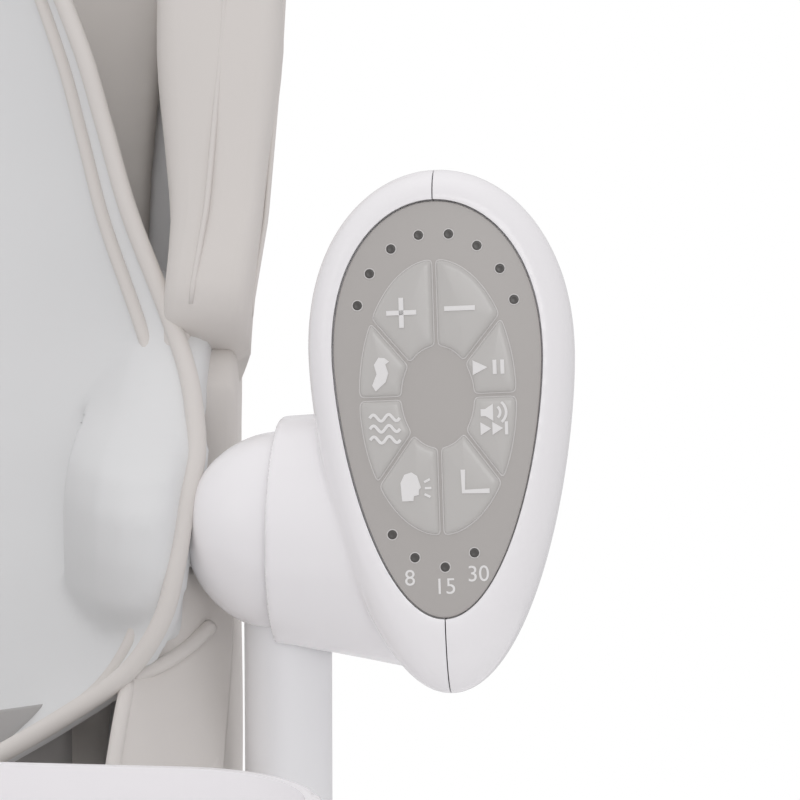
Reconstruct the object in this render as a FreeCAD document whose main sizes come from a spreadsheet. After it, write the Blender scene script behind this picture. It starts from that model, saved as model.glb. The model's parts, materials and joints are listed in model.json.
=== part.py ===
import FreeCAD, Part
import math
import os
import Sketcher

# Baby swing.  +Z is up, +X is the child's left (the control side), -Y is the front.
# The origin is on the floor, under the middle of the frame.  Lengths are in millimetres.
# "Hub" is the level line along X that the seat swings about.

Vec = FreeCAD.Vector
Rot = FreeCAD.Rotation

doc = FreeCAD.newDocument("BabySwing")
sheet = doc.addObject("Spreadsheet::Sheet", "Dims")

DIMENSIONS = {
    # floor frame
    "base_tube_r": 15, "tube_wall": 1.5, "base_height": 30, "cross_y": 326,
    "cross_half": 313, "joint_r": 18.5, "joint_half": 26, "foot_x": 285, "foot_r": 13,
    # posts
    "post_x": 213, "post_r": 15.4, "post_top_gap": 8, "socket_r": 19, "socket_height": 95,
    # hub
    "hub_z": 520, "ball_x": 212, "ball_r": 35, "ball_wall": 3,
    "collar_x": 210, "collar_r": 40, "collar_end_x": 256, "collar_end_r": 47, "shell_wall": 2.8,
    "axle_r": 5, "bush_r": 8, "bush_gap": 0.05,
    # control head
    "face_x": 269.8, "face_y": -41, "face_rise": 50.3, "face_tilt": 12, "face_roll": 3,
    "head_half": 45.3, "head_mid": 20, "head_up": 62.5, "head_down": 116,
    "panel_half": 35.6, "panel_mid": 18, "panel_up": 52.5, "panel_down": 89,
    "panel_depth": 1.2, "panel_thick": 2.5, "key_gap": 1.4, "key_fit": 0.25, "key_travel": 0.8,
    "key_in_w": 12.6, "key_in_h": 17.5, "key_out_w": 26.4, "key_out_h": 46.5, "key_mid": 3.7,
    # drive
    "gear_module": 1, "gear_teeth": 36, "pinion_teeth": 18, "gear_x": 240, "gear_width": 6,
    "motor_r": 12, "motor_length": 36,
    # seat
    "plate_x": 163, "plate_thick": 4, "brace_r": 11, "brace_wall": 3.5, "brace_half": 146, "brace_bend": 45, "seat_lean": 30, "hip_y": 20, "hip_z": -165,
    "back_length": 505, "disc_r": 22, "disc_x": 168.5, "disc_thick": 7, "lug_r": 24,
    "pad_outer_x": 192, "wing_outer_x": 199, "inner_pad_x": 139, "pad_gap": 0.6,
    # tray
    "tray_half": 247, "tray_back": -114, "tray_front": -330, "tray_top": -57, "tray_depth": 20,
    "tray_corner": 52, "tray_wall": 7,
    "rail_in_x": 169, "rail_out_x": 192, "arm_in_x": 181, "arm_out_x": 189,
}
for row, (alias, size) in enumerate(DIMENSIONS.items(), start=1):
    cell = "A%d" % row
    sheet.set(cell, str(size))
    sheet.setAlias(cell, alias)
doc.recompute()


def formula(text):
    """Put the sheet's name before each alias of a formula."""
    words = []
    word = ""
    for letter in text + " ":
        if letter.isalnum() or letter == "_":
            word += letter
            continue
        words.append("Dims." + word if word in DIMENSIONS else word)
        words.append(letter)
        word = ""
    return "".join(words).strip()


def value(text):
    return float(sheet.evalExpression(formula(str(text))))


def bind(obj, prop, text):
    obj.setExpression(prop, formula(str(text)))


TURN = {"x": Rot(Vec(0, 1, 0), 90), "y": Rot(Vec(1, 0, 0), -90), "z": Rot()}
nodes = []


def keep(obj, label):
    """Name a sub-part.  Its label names its file."""
    obj.Label = label
    nodes.append(obj)
    return obj


def place(obj, base, way="z"):
    obj.Placement = FreeCAD.Placement(Vec(*[value(text) for text in base]), TURN[way])
    for letter, text in zip("xyz", base):
        bind(obj, "Placement.Base." + letter, text)


def cylinder(name, radius, length, base, way="z"):
    obj = doc.addObject("Part::Cylinder", name)
    bind(obj, "Radius", radius)
    bind(obj, "Height", length)
    place(obj, base, way)
    return obj


def ball(name, radius, base):
    obj = doc.addObject("Part::Sphere", name)
    bind(obj, "Radius", radius)
    place(obj, base)
    return obj


def box(name, low, high):
    """Box from its low corner to its high corner, both given as formulas."""
    obj = doc.addObject("Part::Box", name)
    for side, (start, end) in zip(("Length", "Width", "Height"), zip(low, high)):
        bind(obj, side, "(%s) - (%s)" % (end, start))
    place(obj, low)
    return obj


def fuse(name, pieces):
    obj = doc.addObject("Part::MultiFuse", name)
    obj.Shapes = pieces
    return obj


def cut(name, base, tools):
    obj = doc.addObject("Part::Cut", name)
    obj.Base = base
    obj.Tool = tools[0] if len(tools) == 1 else fuse(name + "_tools", tools)
    return obj


def tube(name, radius, wall, length, base, way):
    outer = cylinder(name + "_outside", radius, length, base, way)
    bore = cylinder(name + "_bore", "(%s) - (%s)" % (radius, wall), length, base, way)
    return cut(name, outer, [bore])


def group(name, pieces):
    """Separate like solids in one node."""
    obj = doc.addObject("Part::Compound", name)
    obj.Links = pieces
    return obj


def body_with_sketch(name, role, points):
    """Body with a closed outline in one of its origin planes, each point tied to the sheet."""
    body = doc.addObject("PartDesign::Body", name)
    plane = [item for item in body.Origin.OriginFeatures if item.Role == role][0]
    sketch = body.newObject("Sketcher::SketchObject", name + "_outline")
    sketch.AttachmentSupport = [(plane, "")]
    sketch.MapMode = "FlatFace"
    corners = [Vec(value(across), value(up), 0) for across, up in points]
    for index, corner in enumerate(corners):
        sketch.addGeometry(Part.LineSegment(corner, corners[(index + 1) % len(corners)]), False)
    for index in range(len(corners)):
        following = (index + 1) % len(corners)
        sketch.addConstraint(Sketcher.Constraint("Coincident", index, 2, following, 1))
    for index, (corner, texts) in enumerate(zip(corners, points)):
        for kind, size, text in zip(("DistanceX", "DistanceY"), (corner.x, corner.y), texts):
            number = sketch.addConstraint(Sketcher.Constraint(kind, -1, 1, index, 1, size))
            bind(sketch, "Constraints[%d]" % number, text)
    return body, sketch


def revolved(name, points, base, axis="V_Axis", role="XZ_Plane"):
    body, sketch = body_with_sketch(name, role, points)
    turn = body.newObject("PartDesign::Revolution", name + "_turn")
    turn.Profile = sketch
    turn.ReferenceAxis = (sketch, [axis])
    turn.Angle = 360
    place(body, base)
    return body


def feature(name, shape):
    obj = doc.addObject("Part::Feature", name)
    obj.Shape = shape
    return obj


def side_slab(points, low_x, high_x):
    """Outline of (forward, height) points from the hub, made solid from low_x to high_x."""
    hub = value("hub_z")
    wire = Part.makePolygon([Vec(low_x, y, hub + z) for y, z in points + points[:1]])
    return Part.Face(wire).extrude(Vec(high_x - low_x, 0, 0))


def rounded(shape, radius, way):
    """Round the straight edges of a slab that run along one direction."""
    edges = []
    for edge in shape.Edges:
        run = edge.Vertexes[-1].Point - edge.Vertexes[0].Point
        if run.Length > 0.5 and abs(abs(run.normalize().dot(way)) - 1) < 1e-6:
            edges.append(edge)
    return shape.makeFillet(radius, edges)


# ---------------------------------------------------------------- floor frame

for side, sign in (("right", ""), ("left", "-")):
    rail = tube("base_side_rail_" + side, "base_tube_r", "tube_wall", "2 * (cross_y - joint_r - 1)",
                (sign + "post_x", "-cross_y + joint_r + 1", "base_height"), "y")
    keep(rail, "base_side_rail_" + side)
for end, sign in (("front", "-"), ("rear", "")):
    cross = tube("base_%s_tube" % end, "base_tube_r", "tube_wall", "2 * cross_half",
                 ("-cross_half", sign + "cross_y", "base_height"), "x")
    keep(cross, "base_%s_tube" % end)

joints = []
caps = []
feet = []
for name, x_sign, y_sign in (("fr", "", "-"), ("fl", "-", "-"), ("rr", "", ""), ("rl", "-", "")):
    inward = 1 if y_sign else -1
    sleeve = cylinder("joint_sleeve_" + name, "joint_r", "2 * joint_half",
                      (x_sign + "post_x - joint_half", y_sign + "cross_y", "base_height"), "x")
    stub_start = "-cross_y" if inward > 0 else "cross_y - joint_r - 40"
    stub = cylinder("joint_stub_" + name, "joint_r - 0.5", "joint_r + 40",
                    (x_sign + "post_x", stub_start, "base_height"), "y")
    cross_bore = cylinder("joint_cross_bore_" + name, "base_tube_r", "2 * joint_half + 20",
                          (x_sign + "post_x - joint_half - 10", y_sign + "cross_y", "base_height"), "x")
    rail_start = "-cross_y + joint_r + 1" if inward > 0 else "cross_y - joint_r - 61"
    rail_bore = cylinder("joint_rail_bore_" + name, "base_tube_r", "60",
                         (x_sign + "post_x", rail_start, "base_height"), "y")
    joints.append(cut("joint_" + name, fuse("joint_body_" + name, [sleeve, stub]),
                      [cross_bore, rail_bore]))
    cap_x = "cross_half" if x_sign == "" else "-cross_half - 5"
    caps.append(cylinder("cap_" + name, "base_tube_r", "5", (cap_x, y_sign + "cross_y", "base_height"), "x"))
    foot = cylinder("foot_" + name, "foot_r", "base_height",
                    (x_sign + "foot_x", y_sign + "cross_y", "0"))
    foot_bore = cylinder("foot_bore_" + name, "base_tube_r", "80",
                         (x_sign + "foot_x - 40", y_sign + "cross_y", "base_height"), "x")
    feet.append(cut("foot_cut_" + name, foot, [foot_bore]))
keep(group("corner_joint_group", joints), "corner_joints")
keep(group("cap_group", caps), "tube_end_caps")
keep(group("foot_group", feet), "rubber_feet")

# ---------------------------------------------------------------- posts and their sockets

screws = []
for side, sign, out in (("right", "", 1), ("left", "-", -1)):
    foot_z = "base_height + base_tube_r + 1"
    keep(tube("post_" + side, "post_r", "tube_wall", "hub_z - post_top_gap - base_height - base_tube_r - 1",
              (sign + "post_x", "0", foot_z), "z"), "post_" + side)
    saddle = cylinder("saddle_" + side, "socket_r", "90", (sign + "post_x", "-45", "base_height"), "y")
    stand = cylinder("stand_" + side, "socket_r - 0.5", "socket_height", (sign + "post_x", "0", "base_height"))
    rail_bore = cylinder("saddle_bore_" + side, "base_tube_r", "110",
                         (sign + "post_x", "-55", "base_height"), "y")
    post_bore = cylinder("stand_bore_" + side, "post_r", "socket_height", (sign + "post_x", "0", foot_z))
    drill = cylinder("stand_drill_" + side, "3", "60", (sign + "post_x - 30", "0", "95"), "x")
    keep(cut("post_socket_" + side, fuse("socket_body_" + side, [saddle, stand]),
             [rail_bore, post_bore, drill]), "post_socket_" + side)
    screw_x = sign + "post_x + post_r + 0.2" if out > 0 else sign + "post_x - post_r - 5.2"
    screws.append(cylinder("socket_screw_" + side, "2.9", "5", (screw_x, "0", "95"), "x"))
keep(group("socket_screw_group", screws), "socket_screws")

# ---------------------------------------------------------------- hub balls and axle bushes

for side, sign, out in (("right", "", 1), ("left", "-", -1)):
    centre = (sign + "ball_x", "0", "hub_z")
    outside = ball("ball_outside_" + side, "ball_r", centre)
    hollow = ball("ball_hollow_" + side, "ball_r - ball_wall", centre)
    shell = cut("ball_shell_" + side, outside, [hollow])
    neck_x = "ball_x - ball_r + 0.6" if out > 0 else "-ball_x + ball_r - 16.6"
    neck = cylinder("ball_neck_" + side, "bush_r + 3", "16", (neck_x, "0", "hub_z"), "x")
    sleeve = cylinder("ball_sleeve_" + side, "post_r + 2.4", "24", (sign + "post_x", "0", "hub_z - 33"))
    inner = doc.addObject("Part::Common", "ball_inner_" + side)
    inner.Base = fuse("ball_ribs_" + side, [neck, sleeve])
    inner.Tool = ball("ball_limit_" + side, "ball_r", centre)
    bore = cylinder("ball_bush_bore_" + side, "bush_r", "40",
                    (neck_x if out > 0 else "-ball_x + ball_r - 16.6", "0", "hub_z"), "x")
    way_x = "ball_x - ball_r - 5" if out > 0 else "-ball_x + ball_r - 20"
    way = cylinder("ball_axle_way_" + side, "axle_r + 1", "25", (way_x, "0", "hub_z"), "x")
    post_way = cylinder("ball_post_way_" + side, "post_r", "60",
                        (sign + "post_x", "0", "hub_z - post_top_gap - 60"))
    end_x = "ball_x + 12" if out > 0 else "-ball_x - 62"
    end_cut = box("ball_end_" + side, (end_x, "-50", "hub_z - 50"), (end_x + " + 50", "50", "hub_z + 50"))
    bore_x = "ball_x - ball_r + 4" if out > 0 else "-ball_x + ball_r - 24"
    bind(bore, "Placement.Base.x", bore_x)
    bind(bore, "Height", "20")
    whole = cut("hub_ball_" + side, fuse("ball_whole_" + side, [shell, inner]),
                [bore, way, post_way, end_cut])
    keep(whole, "hub_ball_" + side)

BUSH_PLACES = {
    "right": (("ball_x - ball_r + 4.1", "12"), ("gear_x + 8", "6")),
    "left": (("-ball_x + ball_r - 16.1", "12"), ("-gear_x + 3", "6")),
}
for side, places in BUSH_PLACES.items():
    bushes = []
    for index, (start, length) in enumerate(places):
        profile = [("axle_r + bush_gap", "0"), ("bush_r", "0"), ("bush_r", length),
                   ("axle_r + bush_gap", length)]
        bush = revolved("bush_%s_%d" % (side, index), profile, (start, "0", "hub_z"))
        bush.Placement = FreeCAD.Placement(bush.Placement.Base, TURN["x"])
        bushes.append(bush)
    keep(group("bush_group_" + side, bushes), "axle_bushes_" + side)

# ---------------------------------------------------------------- control head

FACE_TURN = Rot(Vec(0, 1, 0), -value("face_roll"))
FACE_TILT = Rot(Vec(1, 0, 0), -value("face_tilt"))
FACE_SET = Rot(Vec(1, 0, 0), 90)
FACE = FreeCAD.Placement(
    Vec(value("face_x"), value("face_y"), value("hub_z + face_rise")),
    FACE_TILT.multiply(FACE_TURN).multiply(FACE_SET))
# In the face's own frame +X is right, +Y is up the face and +Z comes out of it.


def egg(half, mid, up, down, depth):
    """Egg outline, wide above and drawn out below, at a depth behind the face."""
    edges = []
    for side in (1, -1):
        points = []
        steps = 5
        for index in range(-steps, steps + 1):
            turn = index / steps * math.pi / 2
            reach, power = (up, 2.2) if index >= 0 else (down, 1.6)
            share = abs(math.sin(turn))
            width = side * half * max(0.0, 1 - share ** power) ** 0.5
            points.append(Vec(width, mid + math.copysign(share * reach, turn), -depth))
        curve = Part.BSplineCurve()
        curve.interpolate(points if side > 0 else points[::-1])
        edges.append(curve.toShape())
    return Part.Wire(edges)


def head_solid(shrink, front, back):
    """Body of the head.  Shrink is how far it stands inside the outer surface."""
    size = [value(alias) for alias in ("head_half", "head_mid", "head_up", "head_down")]
    sections = ((front, 4.5), (front + 1.6, 1.4), (7, 0), (42, 1.5), (back - 24, 6), (back - 12, 14),
                (back - 4, 24), (back, 34))
    wires = []
    for depth, inset in sections:
        total = inset + shrink
        wires.append(egg(size[0] - total, size[1], size[2] - total, size[3] - total, depth))
    return Part.makeLoft(wires, True, True)


def collar_solid(shrink, start, end):
    """Cone round the hub line from the collar's rim into the head."""
    cone = Part.makeCone(value("collar_r") - shrink, value("collar_end_r") - shrink, end - start,
                         Vec(start, 0, value("hub_z")), Vec(1, 0, 0))
    return cone


def egg_slab(prefix, inset, start, thickness):
    """Flat plate of the panel's outline."""
    size = [value(prefix + part) for part in ("_half", "_mid", "_up", "_down")]
    wire = egg(size[0] - inset, size[1], size[2] - inset, size[3] - inset, start + thickness)
    return Part.Face(wire).extrude(Vec(0, 0, thickness))


def rod(across, up, front, back, radius):
    """Round rod square to the face."""
    return Part.makeCylinder(radius, back - front, Vec(across, up, -back), Vec(0, 0, 1))


def on_face(shape):
    moved = shape.copy()
    moved.Placement = FACE.multiply(shape.Placement)
    return moved.copy()


wall = value("shell_wall")
hub = value("hub_z")
collar_start = value("collar_x")
collar_end = value("collar_end_x")
SCREW_PLACES = ((58, 40), (-60, 30), (20, 66))
SCREW_R = 1.5


def across_rod(up, depth, start, end, radius):
    """Round rod along the face's own sideways direction."""
    return Part.makeCylinder(radius, end - start, Vec(start, up, -depth), Vec(1, 0, 0))


# The ledge behind the panel and the bulkhead end inside the wall, so they join it.
outside = on_face(head_solid(0, 0, 82)).fuse(collar_solid(0, collar_start, collar_end))
inside = on_face(head_solid(wall, wall, 82 - wall))
collar_room = collar_solid(wall, collar_start - 1, collar_end - wall)
window = on_face(egg_slab("panel", -0.2, -5, 8.9))
hub_room = Part.makeSphere(value("ball_r + 1"), Vec(value("ball_x"), 0, hub))
post_room = Part.makeCylinder(value("post_r") + 0.5, 60, Vec(value("post_x"), 0, hub - 70))
inlet_place = (14, -18)
inlet_room = on_face(rod(inlet_place[0], inlet_place[1], 60, 90, 5.6))
bulkhead = Part.makeCylinder(value("collar_r") + 1.4, 3, Vec(229.5, 0, hub), Vec(1, 0, 0))
bulkhead = bulkhead.cut(Part.makeCylinder(value("axle_r") + 1.5, 20, Vec(220, 0, hub), Vec(1, 0, 0)))
ledge = on_face(egg_slab("head", 1.8, 4.2, 2)).cut(on_face(egg_slab("panel", 4, 3.8, 3)))
head = outside.cut([inside, collar_room, window])
head = head.fuse([ledge, bulkhead])
head = head.cut([hub_room, post_room, inlet_room])

SEAM_GAP = 0.1
for label, start in (("pod_inner_shell", -120), ("pod_outer_shell", SEAM_GAP)):
    half = on_face(Part.makeBox(120, 260, 160, Vec(start, -150, -130)))
    keep(feature(label, head.common(half)), label)

DOT_R = 1.75
DOT_TOP = [(27.5 * math.sin(math.radians(turn)), 27.4 + 31.9 * math.cos(math.radians(turn)))
           for turn in (-75, -53.6, -32.1, -10.7, 10.7, 32.1, 53.6, 75)]
DOT_BOTTOM = [(-17, -42.2), (-9.6, -50.2), (0.5, -53.7), (10.5, -49.2)]
DOTS = DOT_TOP + DOT_BOTTOM

KEY_EDGES = (0, 39.5, 90, 144, 180, 216, 270, 320.5)
KEY_NAMES = ("key_slower", "key_play", "key_volume", "key_timer", "key_voice", "key_waves",
             "key_melody", "key_faster")


def ellipse_face(half_width, half_height, middle):
    major = Vec(0, half_height, 0)
    curve = Part.Ellipse(Vec(-0.2, middle, 0) + major, Vec(half_width - 0.2, middle, 0),
                         Vec(-0.2, middle, 0))
    return Part.Face(Part.Wire(curve.toShape()))


def clock(turn):
    """Direction on the face, clockwise from the top."""
    return Vec(math.sin(math.radians(turn)), math.cos(math.radians(turn)), 0)


def key_block(start, end, grow, front, back):
    """Rounded sector between two ellipses, from one clock angle to another and front to back."""
    middle = value("key_mid")
    ring = ellipse_face(value("key_out_w") + grow, value("key_out_h") + grow, middle)
    ring = ring.cut(ellipse_face(value("key_in_w") - grow, value("key_in_h") - grow, middle))
    gap = value("key_gap") - grow
    half_turn = (end - start) / 2
    apex = Vec(-0.2, middle, 0) + clock(start + half_turn) * (gap / math.sin(math.radians(half_turn)))
    corners = [apex, apex + clock(start) * 120, apex + clock(start + half_turn) * 160, apex + clock(end) * 120]
    wedge = Part.Face(Part.makePolygon(corners + corners[:1]))
    block = ring.common(wedge).Faces[0].extrude(Vec(0, 0, back - front))
    block.translate(Vec(0, 0, -back))
    return rounded(block, 1.6 + grow, Vec(0, 0, 1))


panel_front = value("panel_depth")
panel_back = panel_front + value("panel_thick")
panel = egg_slab("panel", 0, panel_front, value("panel_thick"))
for across, up in DOTS:
    panel = panel.cut(rod(across, up, 0, 6, DOT_R))
key_solids = []
for index, label in enumerate(KEY_NAMES):
    start = KEY_EDGES[index]
    end = KEY_EDGES[(index + 1) % len(KEY_EDGES)]
    end = end if end > start else end + 360
    panel = panel.cut(key_block(start, end, value("key_fit"), 0, 8))
    cap = key_block(start, end, 0, 0.1, panel_back + 1.0)
    rim = key_block(start, end, 0.9, panel_back + 0.1, panel_back + 1.0)
    key_solids.append((label, cap.fuse(rim)))
keep(feature("control_panel", on_face(panel)), "control_panel")
for label, shape in key_solids:
    keep(feature(label, on_face(shape)), label)

mat_front = panel_back + 1.0 + value("key_travel") + 0.3
key_mat = ellipse_face(28, 48, value("key_mid")).extrude(Vec(0, 0, 1.5))
key_mat.translate(Vec(0, 0, -mat_front - 1.5))
board_front = mat_front + 1.7
board = egg_slab("panel", 4.5, board_front, 1.6)
lamps = [on_face(rod(across, up, panel_front + 0.6, board_front - 0.1, DOT_R - 0.1)) for across, up in DOTS]
keep(feature("key_mat", on_face(key_mat)), "key_mat")
keep(feature("circuit_board", on_face(board)), "circuit_board")
keep(feature("indicator_lamps", Part.makeCompound(lamps)), "indicator_lamps")

speaker = rod(0, 40, board_front + 4, board_front + 8, 15).fuse(rod(0, 40, board_front + 8, board_front + 17, 9))
keep(feature("speaker", on_face(speaker)), "speaker")
inlet = rod(inlet_place[0], inlet_place[1], 62, 80, 5.5)
inlet = inlet.cut(rod(inlet_place[0], inlet_place[1], 71, 90, 2.8))
keep(feature("power_inlet", on_face(inlet)), "power_inlet")
pod_screws = []
screw_posts = []
for up, depth in SCREW_PLACES:
    shank = across_rod(up, depth, -13, 13, SCREW_R - 0.05)
    pod_screws.append(on_face(shank.fuse(across_rod(up, depth, -15.5, -13, 3.2))))
    screw_post = across_rod(up, depth, -12.9, 20, 4.5).cut(across_rod(up, depth, -20, 13.2, SCREW_R))
    screw_posts.append(on_face(screw_post))
keep(feature("pod_screws", Part.makeCompound(pod_screws)), "pod_screws")
keep(feature("pod_screw_posts", Part.makeCompound(screw_posts)), "pod_screw_posts")

# ---------------------------------------------------------------- drive

PRESSURE_ANGLE = math.radians(20)


def spur_gear(teeth, module, width, bore, turn):
    """Spur gear about +Z with involute flanks, a bore and its first tooth turned from +X."""
    pitch_r = module * teeth / 2
    base_r = pitch_r * math.cos(PRESSURE_ANGLE)
    tip_r = pitch_r + 0.92 * module
    root_r = pitch_r - 1.25 * module
    half_pitch = math.pi / 2 / teeth * 0.94
    pitch_roll = math.tan(PRESSURE_ANGLE) - PRESSURE_ANGLE
    flank = []
    steps = 5
    for index in range(steps + 1):
        radius = max(base_r, root_r) + (tip_r - max(base_r, root_r)) * index / steps
        ratio = min(1.0, base_r / radius)
        roll = math.tan(math.acos(ratio)) - math.acos(ratio)
        flank.append((radius, half_pitch + pitch_roll - roll))
    points = []
    for tooth in range(teeth):
        middle = turn + tooth * 2 * math.pi / teeth
        foot = half_pitch + pitch_roll
        side = [(root_r, foot)] + flank
        outline = [(radius, middle - angle) for radius, angle in side]
        outline += [(radius, middle + angle) for radius, angle in reversed(side)]
        points += [Vec(radius * math.cos(angle), radius * math.sin(angle), 0) for radius, angle in outline]
    face = Part.Face(Part.makePolygon(points + points[:1]))
    solid = face.extrude(Vec(0, 0, width))
    return solid.cut(Part.makeCylinder(bore, width, Vec(), Vec(0, 0, 1)))


teeth = int(value("gear_teeth"))
pinion_teeth = int(value("pinion_teeth"))
module = value("gear_module")
centre_rise = module * (teeth + pinion_teeth) / 2
axle_r = value("axle_r")
gear = feature("drive_gear", spur_gear(teeth, module, value("gear_width"), axle_r, math.pi))
gear.Placement = FreeCAD.Placement(Vec(value("gear_x"), 0, hub), TURN["x"])
keep(gear, "drive_gear")
pinion = feature("motor_pinion", spur_gear(pinion_teeth, module, value("gear_width") + 1, 1.5,
                                           math.pi / pinion_teeth))
pinion.Placement = FreeCAD.Placement(Vec(value("gear_x") - 0.5, 0, hub + centre_rise), TURN["x"])
keep(pinion, "motor_pinion")
plate_x = value("gear_x") + 8
motor_axis = Vec(plate_x + 6, 0, hub + centre_rise)
motor = Part.makeCylinder(value("motor_r"), value("motor_length"), motor_axis, Vec(1, 0, 0))
motor = motor.fuse(Part.makeCylinder(4, 6, motor_axis - Vec(6, 0, 0), Vec(1, 0, 0)))
shaft_start = Vec(value("gear_x") - 0.5, 0, hub + centre_rise)
motor = motor.fuse(Part.makeCylinder(1.45, 20, shaft_start, Vec(1, 0, 0)))
keep(feature("drive_motor", motor), "drive_motor")
mount = Part.makeBox(6, 32, 58, Vec(plate_x, -16, hub - 14))
mount = mount.cut(Part.makeCylinder(4.1, 10, motor_axis - Vec(8, 0, 0), Vec(1, 0, 0)))
mount = mount.cut(Part.makeCylinder(value("bush_r"), 10, Vec(plate_x - 2, 0, hub), Vec(1, 0, 0)))
mount = rounded(mount, 6, Vec(1, 0, 0))
keep(feature("motor_mount", mount), "motor_mount")

axle = cylinder("axle_right", "axle_r", "gear_x + 16 - plate_x + 4.5",
                ("plate_x - 4.5", "0", "hub_z"), "x")
keep(axle, "axle_right")
axle = cylinder("axle_left", "axle_r", "gear_x + 2 - plate_x + 4.5",
                ("-gear_x - 2", "0", "hub_z"), "x")
keep(axle, "axle_left")


def recline_disc(name, start):
    """Disc keyed on the axle, with a ring of lock notches."""
    body = doc.addObject("PartDesign::Body", name)
    plane = [item for item in body.Origin.OriginFeatures if item.Role == "XY_Plane"][0]
    rim = body.newObject("Sketcher::SketchObject", name + "_rim")
    rim.AttachmentSupport = [(plane, "")]
    rim.MapMode = "FlatFace"
    for index, text in enumerate(("disc_r", "axle_r")):
        rim.addGeometry(Part.Circle(Vec(), Vec(0, 0, 1), value(text)), False)
        number = rim.addConstraint(Sketcher.Constraint("Radius", index, value(text)))
        bind(rim, "Constraints[%d]" % number, text)
        rim.addConstraint(Sketcher.Constraint("Coincident", index, 3, -1, 1))
    pad = body.newObject("PartDesign::Pad", name + "_pad")
    pad.Profile = rim
    bind(pad, "Length", "disc_thick")
    notch = body.newObject("Sketcher::SketchObject", name + "_notch")
    notch.AttachmentSupport = [(plane, "")]
    notch.MapMode = "FlatFace"
    corners = [Vec(19, -1.5, 0), Vec(26, -1.5, 0), Vec(26, 1.5, 0), Vec(19, 1.5, 0)]
    for index, corner in enumerate(corners):
        notch.addGeometry(Part.LineSegment(corner, corners[(index + 1) % 4]), False)
    for index in range(4):
        notch.addConstraint(Sketcher.Constraint("Coincident", index, 2, (index + 1) % 4, 1))
    pocket = body.newObject("PartDesign::Pocket", name + "_pocket")
    pocket.Profile = notch
    pocket.Type = "ThroughAll"
    pocket.Midplane = True
    ring = body.newObject("PartDesign::PolarPattern", name + "_ring")
    ring.Originals = [pocket]
    ring.Axis = (rim, ["N_Axis"])
    ring.Angle = 360
    ring.Occurrences = 12
    body.Tip = ring
    place(body, (start, "0", "hub_z"), "x")
    return body


keep(recline_disc("disc_right", "disc_x"), "recline_disc_right")
keep(recline_disc("disc_left", "-disc_x - disc_thick"), "recline_disc_left")

# ---------------------------------------------------------------- left pod

left_profile = [
    ("-collar_x", "collar_r - shell_wall"), ("-collar_x", "collar_r"), ("-collar_x - 30", "collar_r + 3"),
    ("-collar_x - 44", "collar_r - 2"), ("-collar_x - 51", "collar_r - 14"), ("-collar_x - 54", "0"),
    ("-collar_x - 51", "0"), ("-collar_x - 48", "collar_r - 16"), ("-collar_x - 42", "collar_r - 5"),
    ("-gear_x - 1.5", "collar_r"), ("-gear_x - 1.5", "bush_r"), ("-gear_x + 3", "bush_r"),
    ("-gear_x + 3", "collar_r - 0.4"),
]
left_pod = revolved("left_pod", left_profile, ("0", "0", "hub_z"), "H_Axis")
left_room = ball("left_ball_room", "ball_r + 1", ("-ball_x", "0", "hub_z"))
left_post_room = cylinder("left_post_room", "post_r + 0.5", "60", ("-post_x", "0", "hub_z - 70"))
keep(cut("pod_left_cut", left_pod, [left_room, left_post_room]), "pod_left_shell")

# ---------------------------------------------------------------- seat shell

lean = math.radians(value("seat_lean"))
hip = (value("hip_y"), value("hip_z"))
back = value("back_length")
UP_BACK = (math.sin(lean), math.cos(lean))
OFF_BACK = (-math.cos(lean), math.sin(lean))
KNEE = (-195, -142)
pan_length = math.hypot(KNEE[0] - hip[0], KNEE[1] - hip[1])
ALONG_PAN = ((KNEE[0] - hip[0]) / pan_length, (KNEE[1] - hip[1]) / pan_length)
OFF_PAN = (ALONG_PAN[1], -ALONG_PAN[0])
LEG = (-0.35, -0.937)
OFF_LEG = (-0.937, 0.35)


def slab_along(start, along, off, first, last, low, high):
    """Four corners of a slab that follows a direction, from first to last and low to high."""
    corners = []
    for run, rise in ((first, low), (last, low), (last, high), (first, high)):
        corners.append((start[0] + along[0] * run + off[0] * rise, start[1] + along[1] * run + off[1] * rise))
    return corners


shell_t = value("plate_thick")
inner_x = value("plate_x")
outer_x = inner_x + shell_t
SIDE_PLATE = [(-191, -141.5), (-191, -116), (-45, -106), (8, -58), (48, 10), (62, 80), (165, 258),
              (205, 274), (256, 250), (20, -162)]
back_plate = side_slab(slab_along(hip, UP_BACK, OFF_BACK, -6, back, -shell_t, 0), -outer_x, outer_x)
corner_edges = [edge for edge in back_plate.Edges
                if edge.Length < shell_t + 0.01 and edge.BoundBox.ZMax > hub + 200]
back_plate = back_plate.makeFillet(60, corner_edges)
pan_plate = side_slab(slab_along(hip, ALONG_PAN, OFF_PAN, 0, pan_length, -shell_t, 0), -outer_x, outer_x)
leg_plate = side_slab(slab_along(KNEE, LEG, OFF_LEG, 0, 110, -shell_t, 0), -120, 120)
seat_shell = back_plate.fuse(pan_plate).fuse(leg_plate)
for sign in (1, -1):
    low_x, high_x = sorted((sign * inner_x, sign * outer_x))
    plate = side_slab(SIDE_PLATE, low_x, high_x)
    lug = Part.makeCylinder(value("lug_r"), shell_t, Vec(low_x, 0, hub), Vec(1, 0, 0))
    web = side_slab([(0, 22), (66, 60), (32, -45), (0, -22)], low_x, high_x)
    plate = plate.fuse([lug, web]).removeSplitter()
    plate = plate.cut(Part.makeCylinder(axle_r + value("bush_gap"), 30,
                                        Vec(low_x - 12, 0, hub), Vec(1, 0, 0)))
    seat_shell = seat_shell.fuse(plate)
keep(feature("seat_shell", seat_shell.removeSplitter()), "seat_shell")

# Steel tube bent to a U under the seat pan, with its bend at the front.
brace_r = value("brace_r")
brace_half = value("brace_half")
bend = value("brace_bend")
drop = shell_t + brace_r + 0.4


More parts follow.
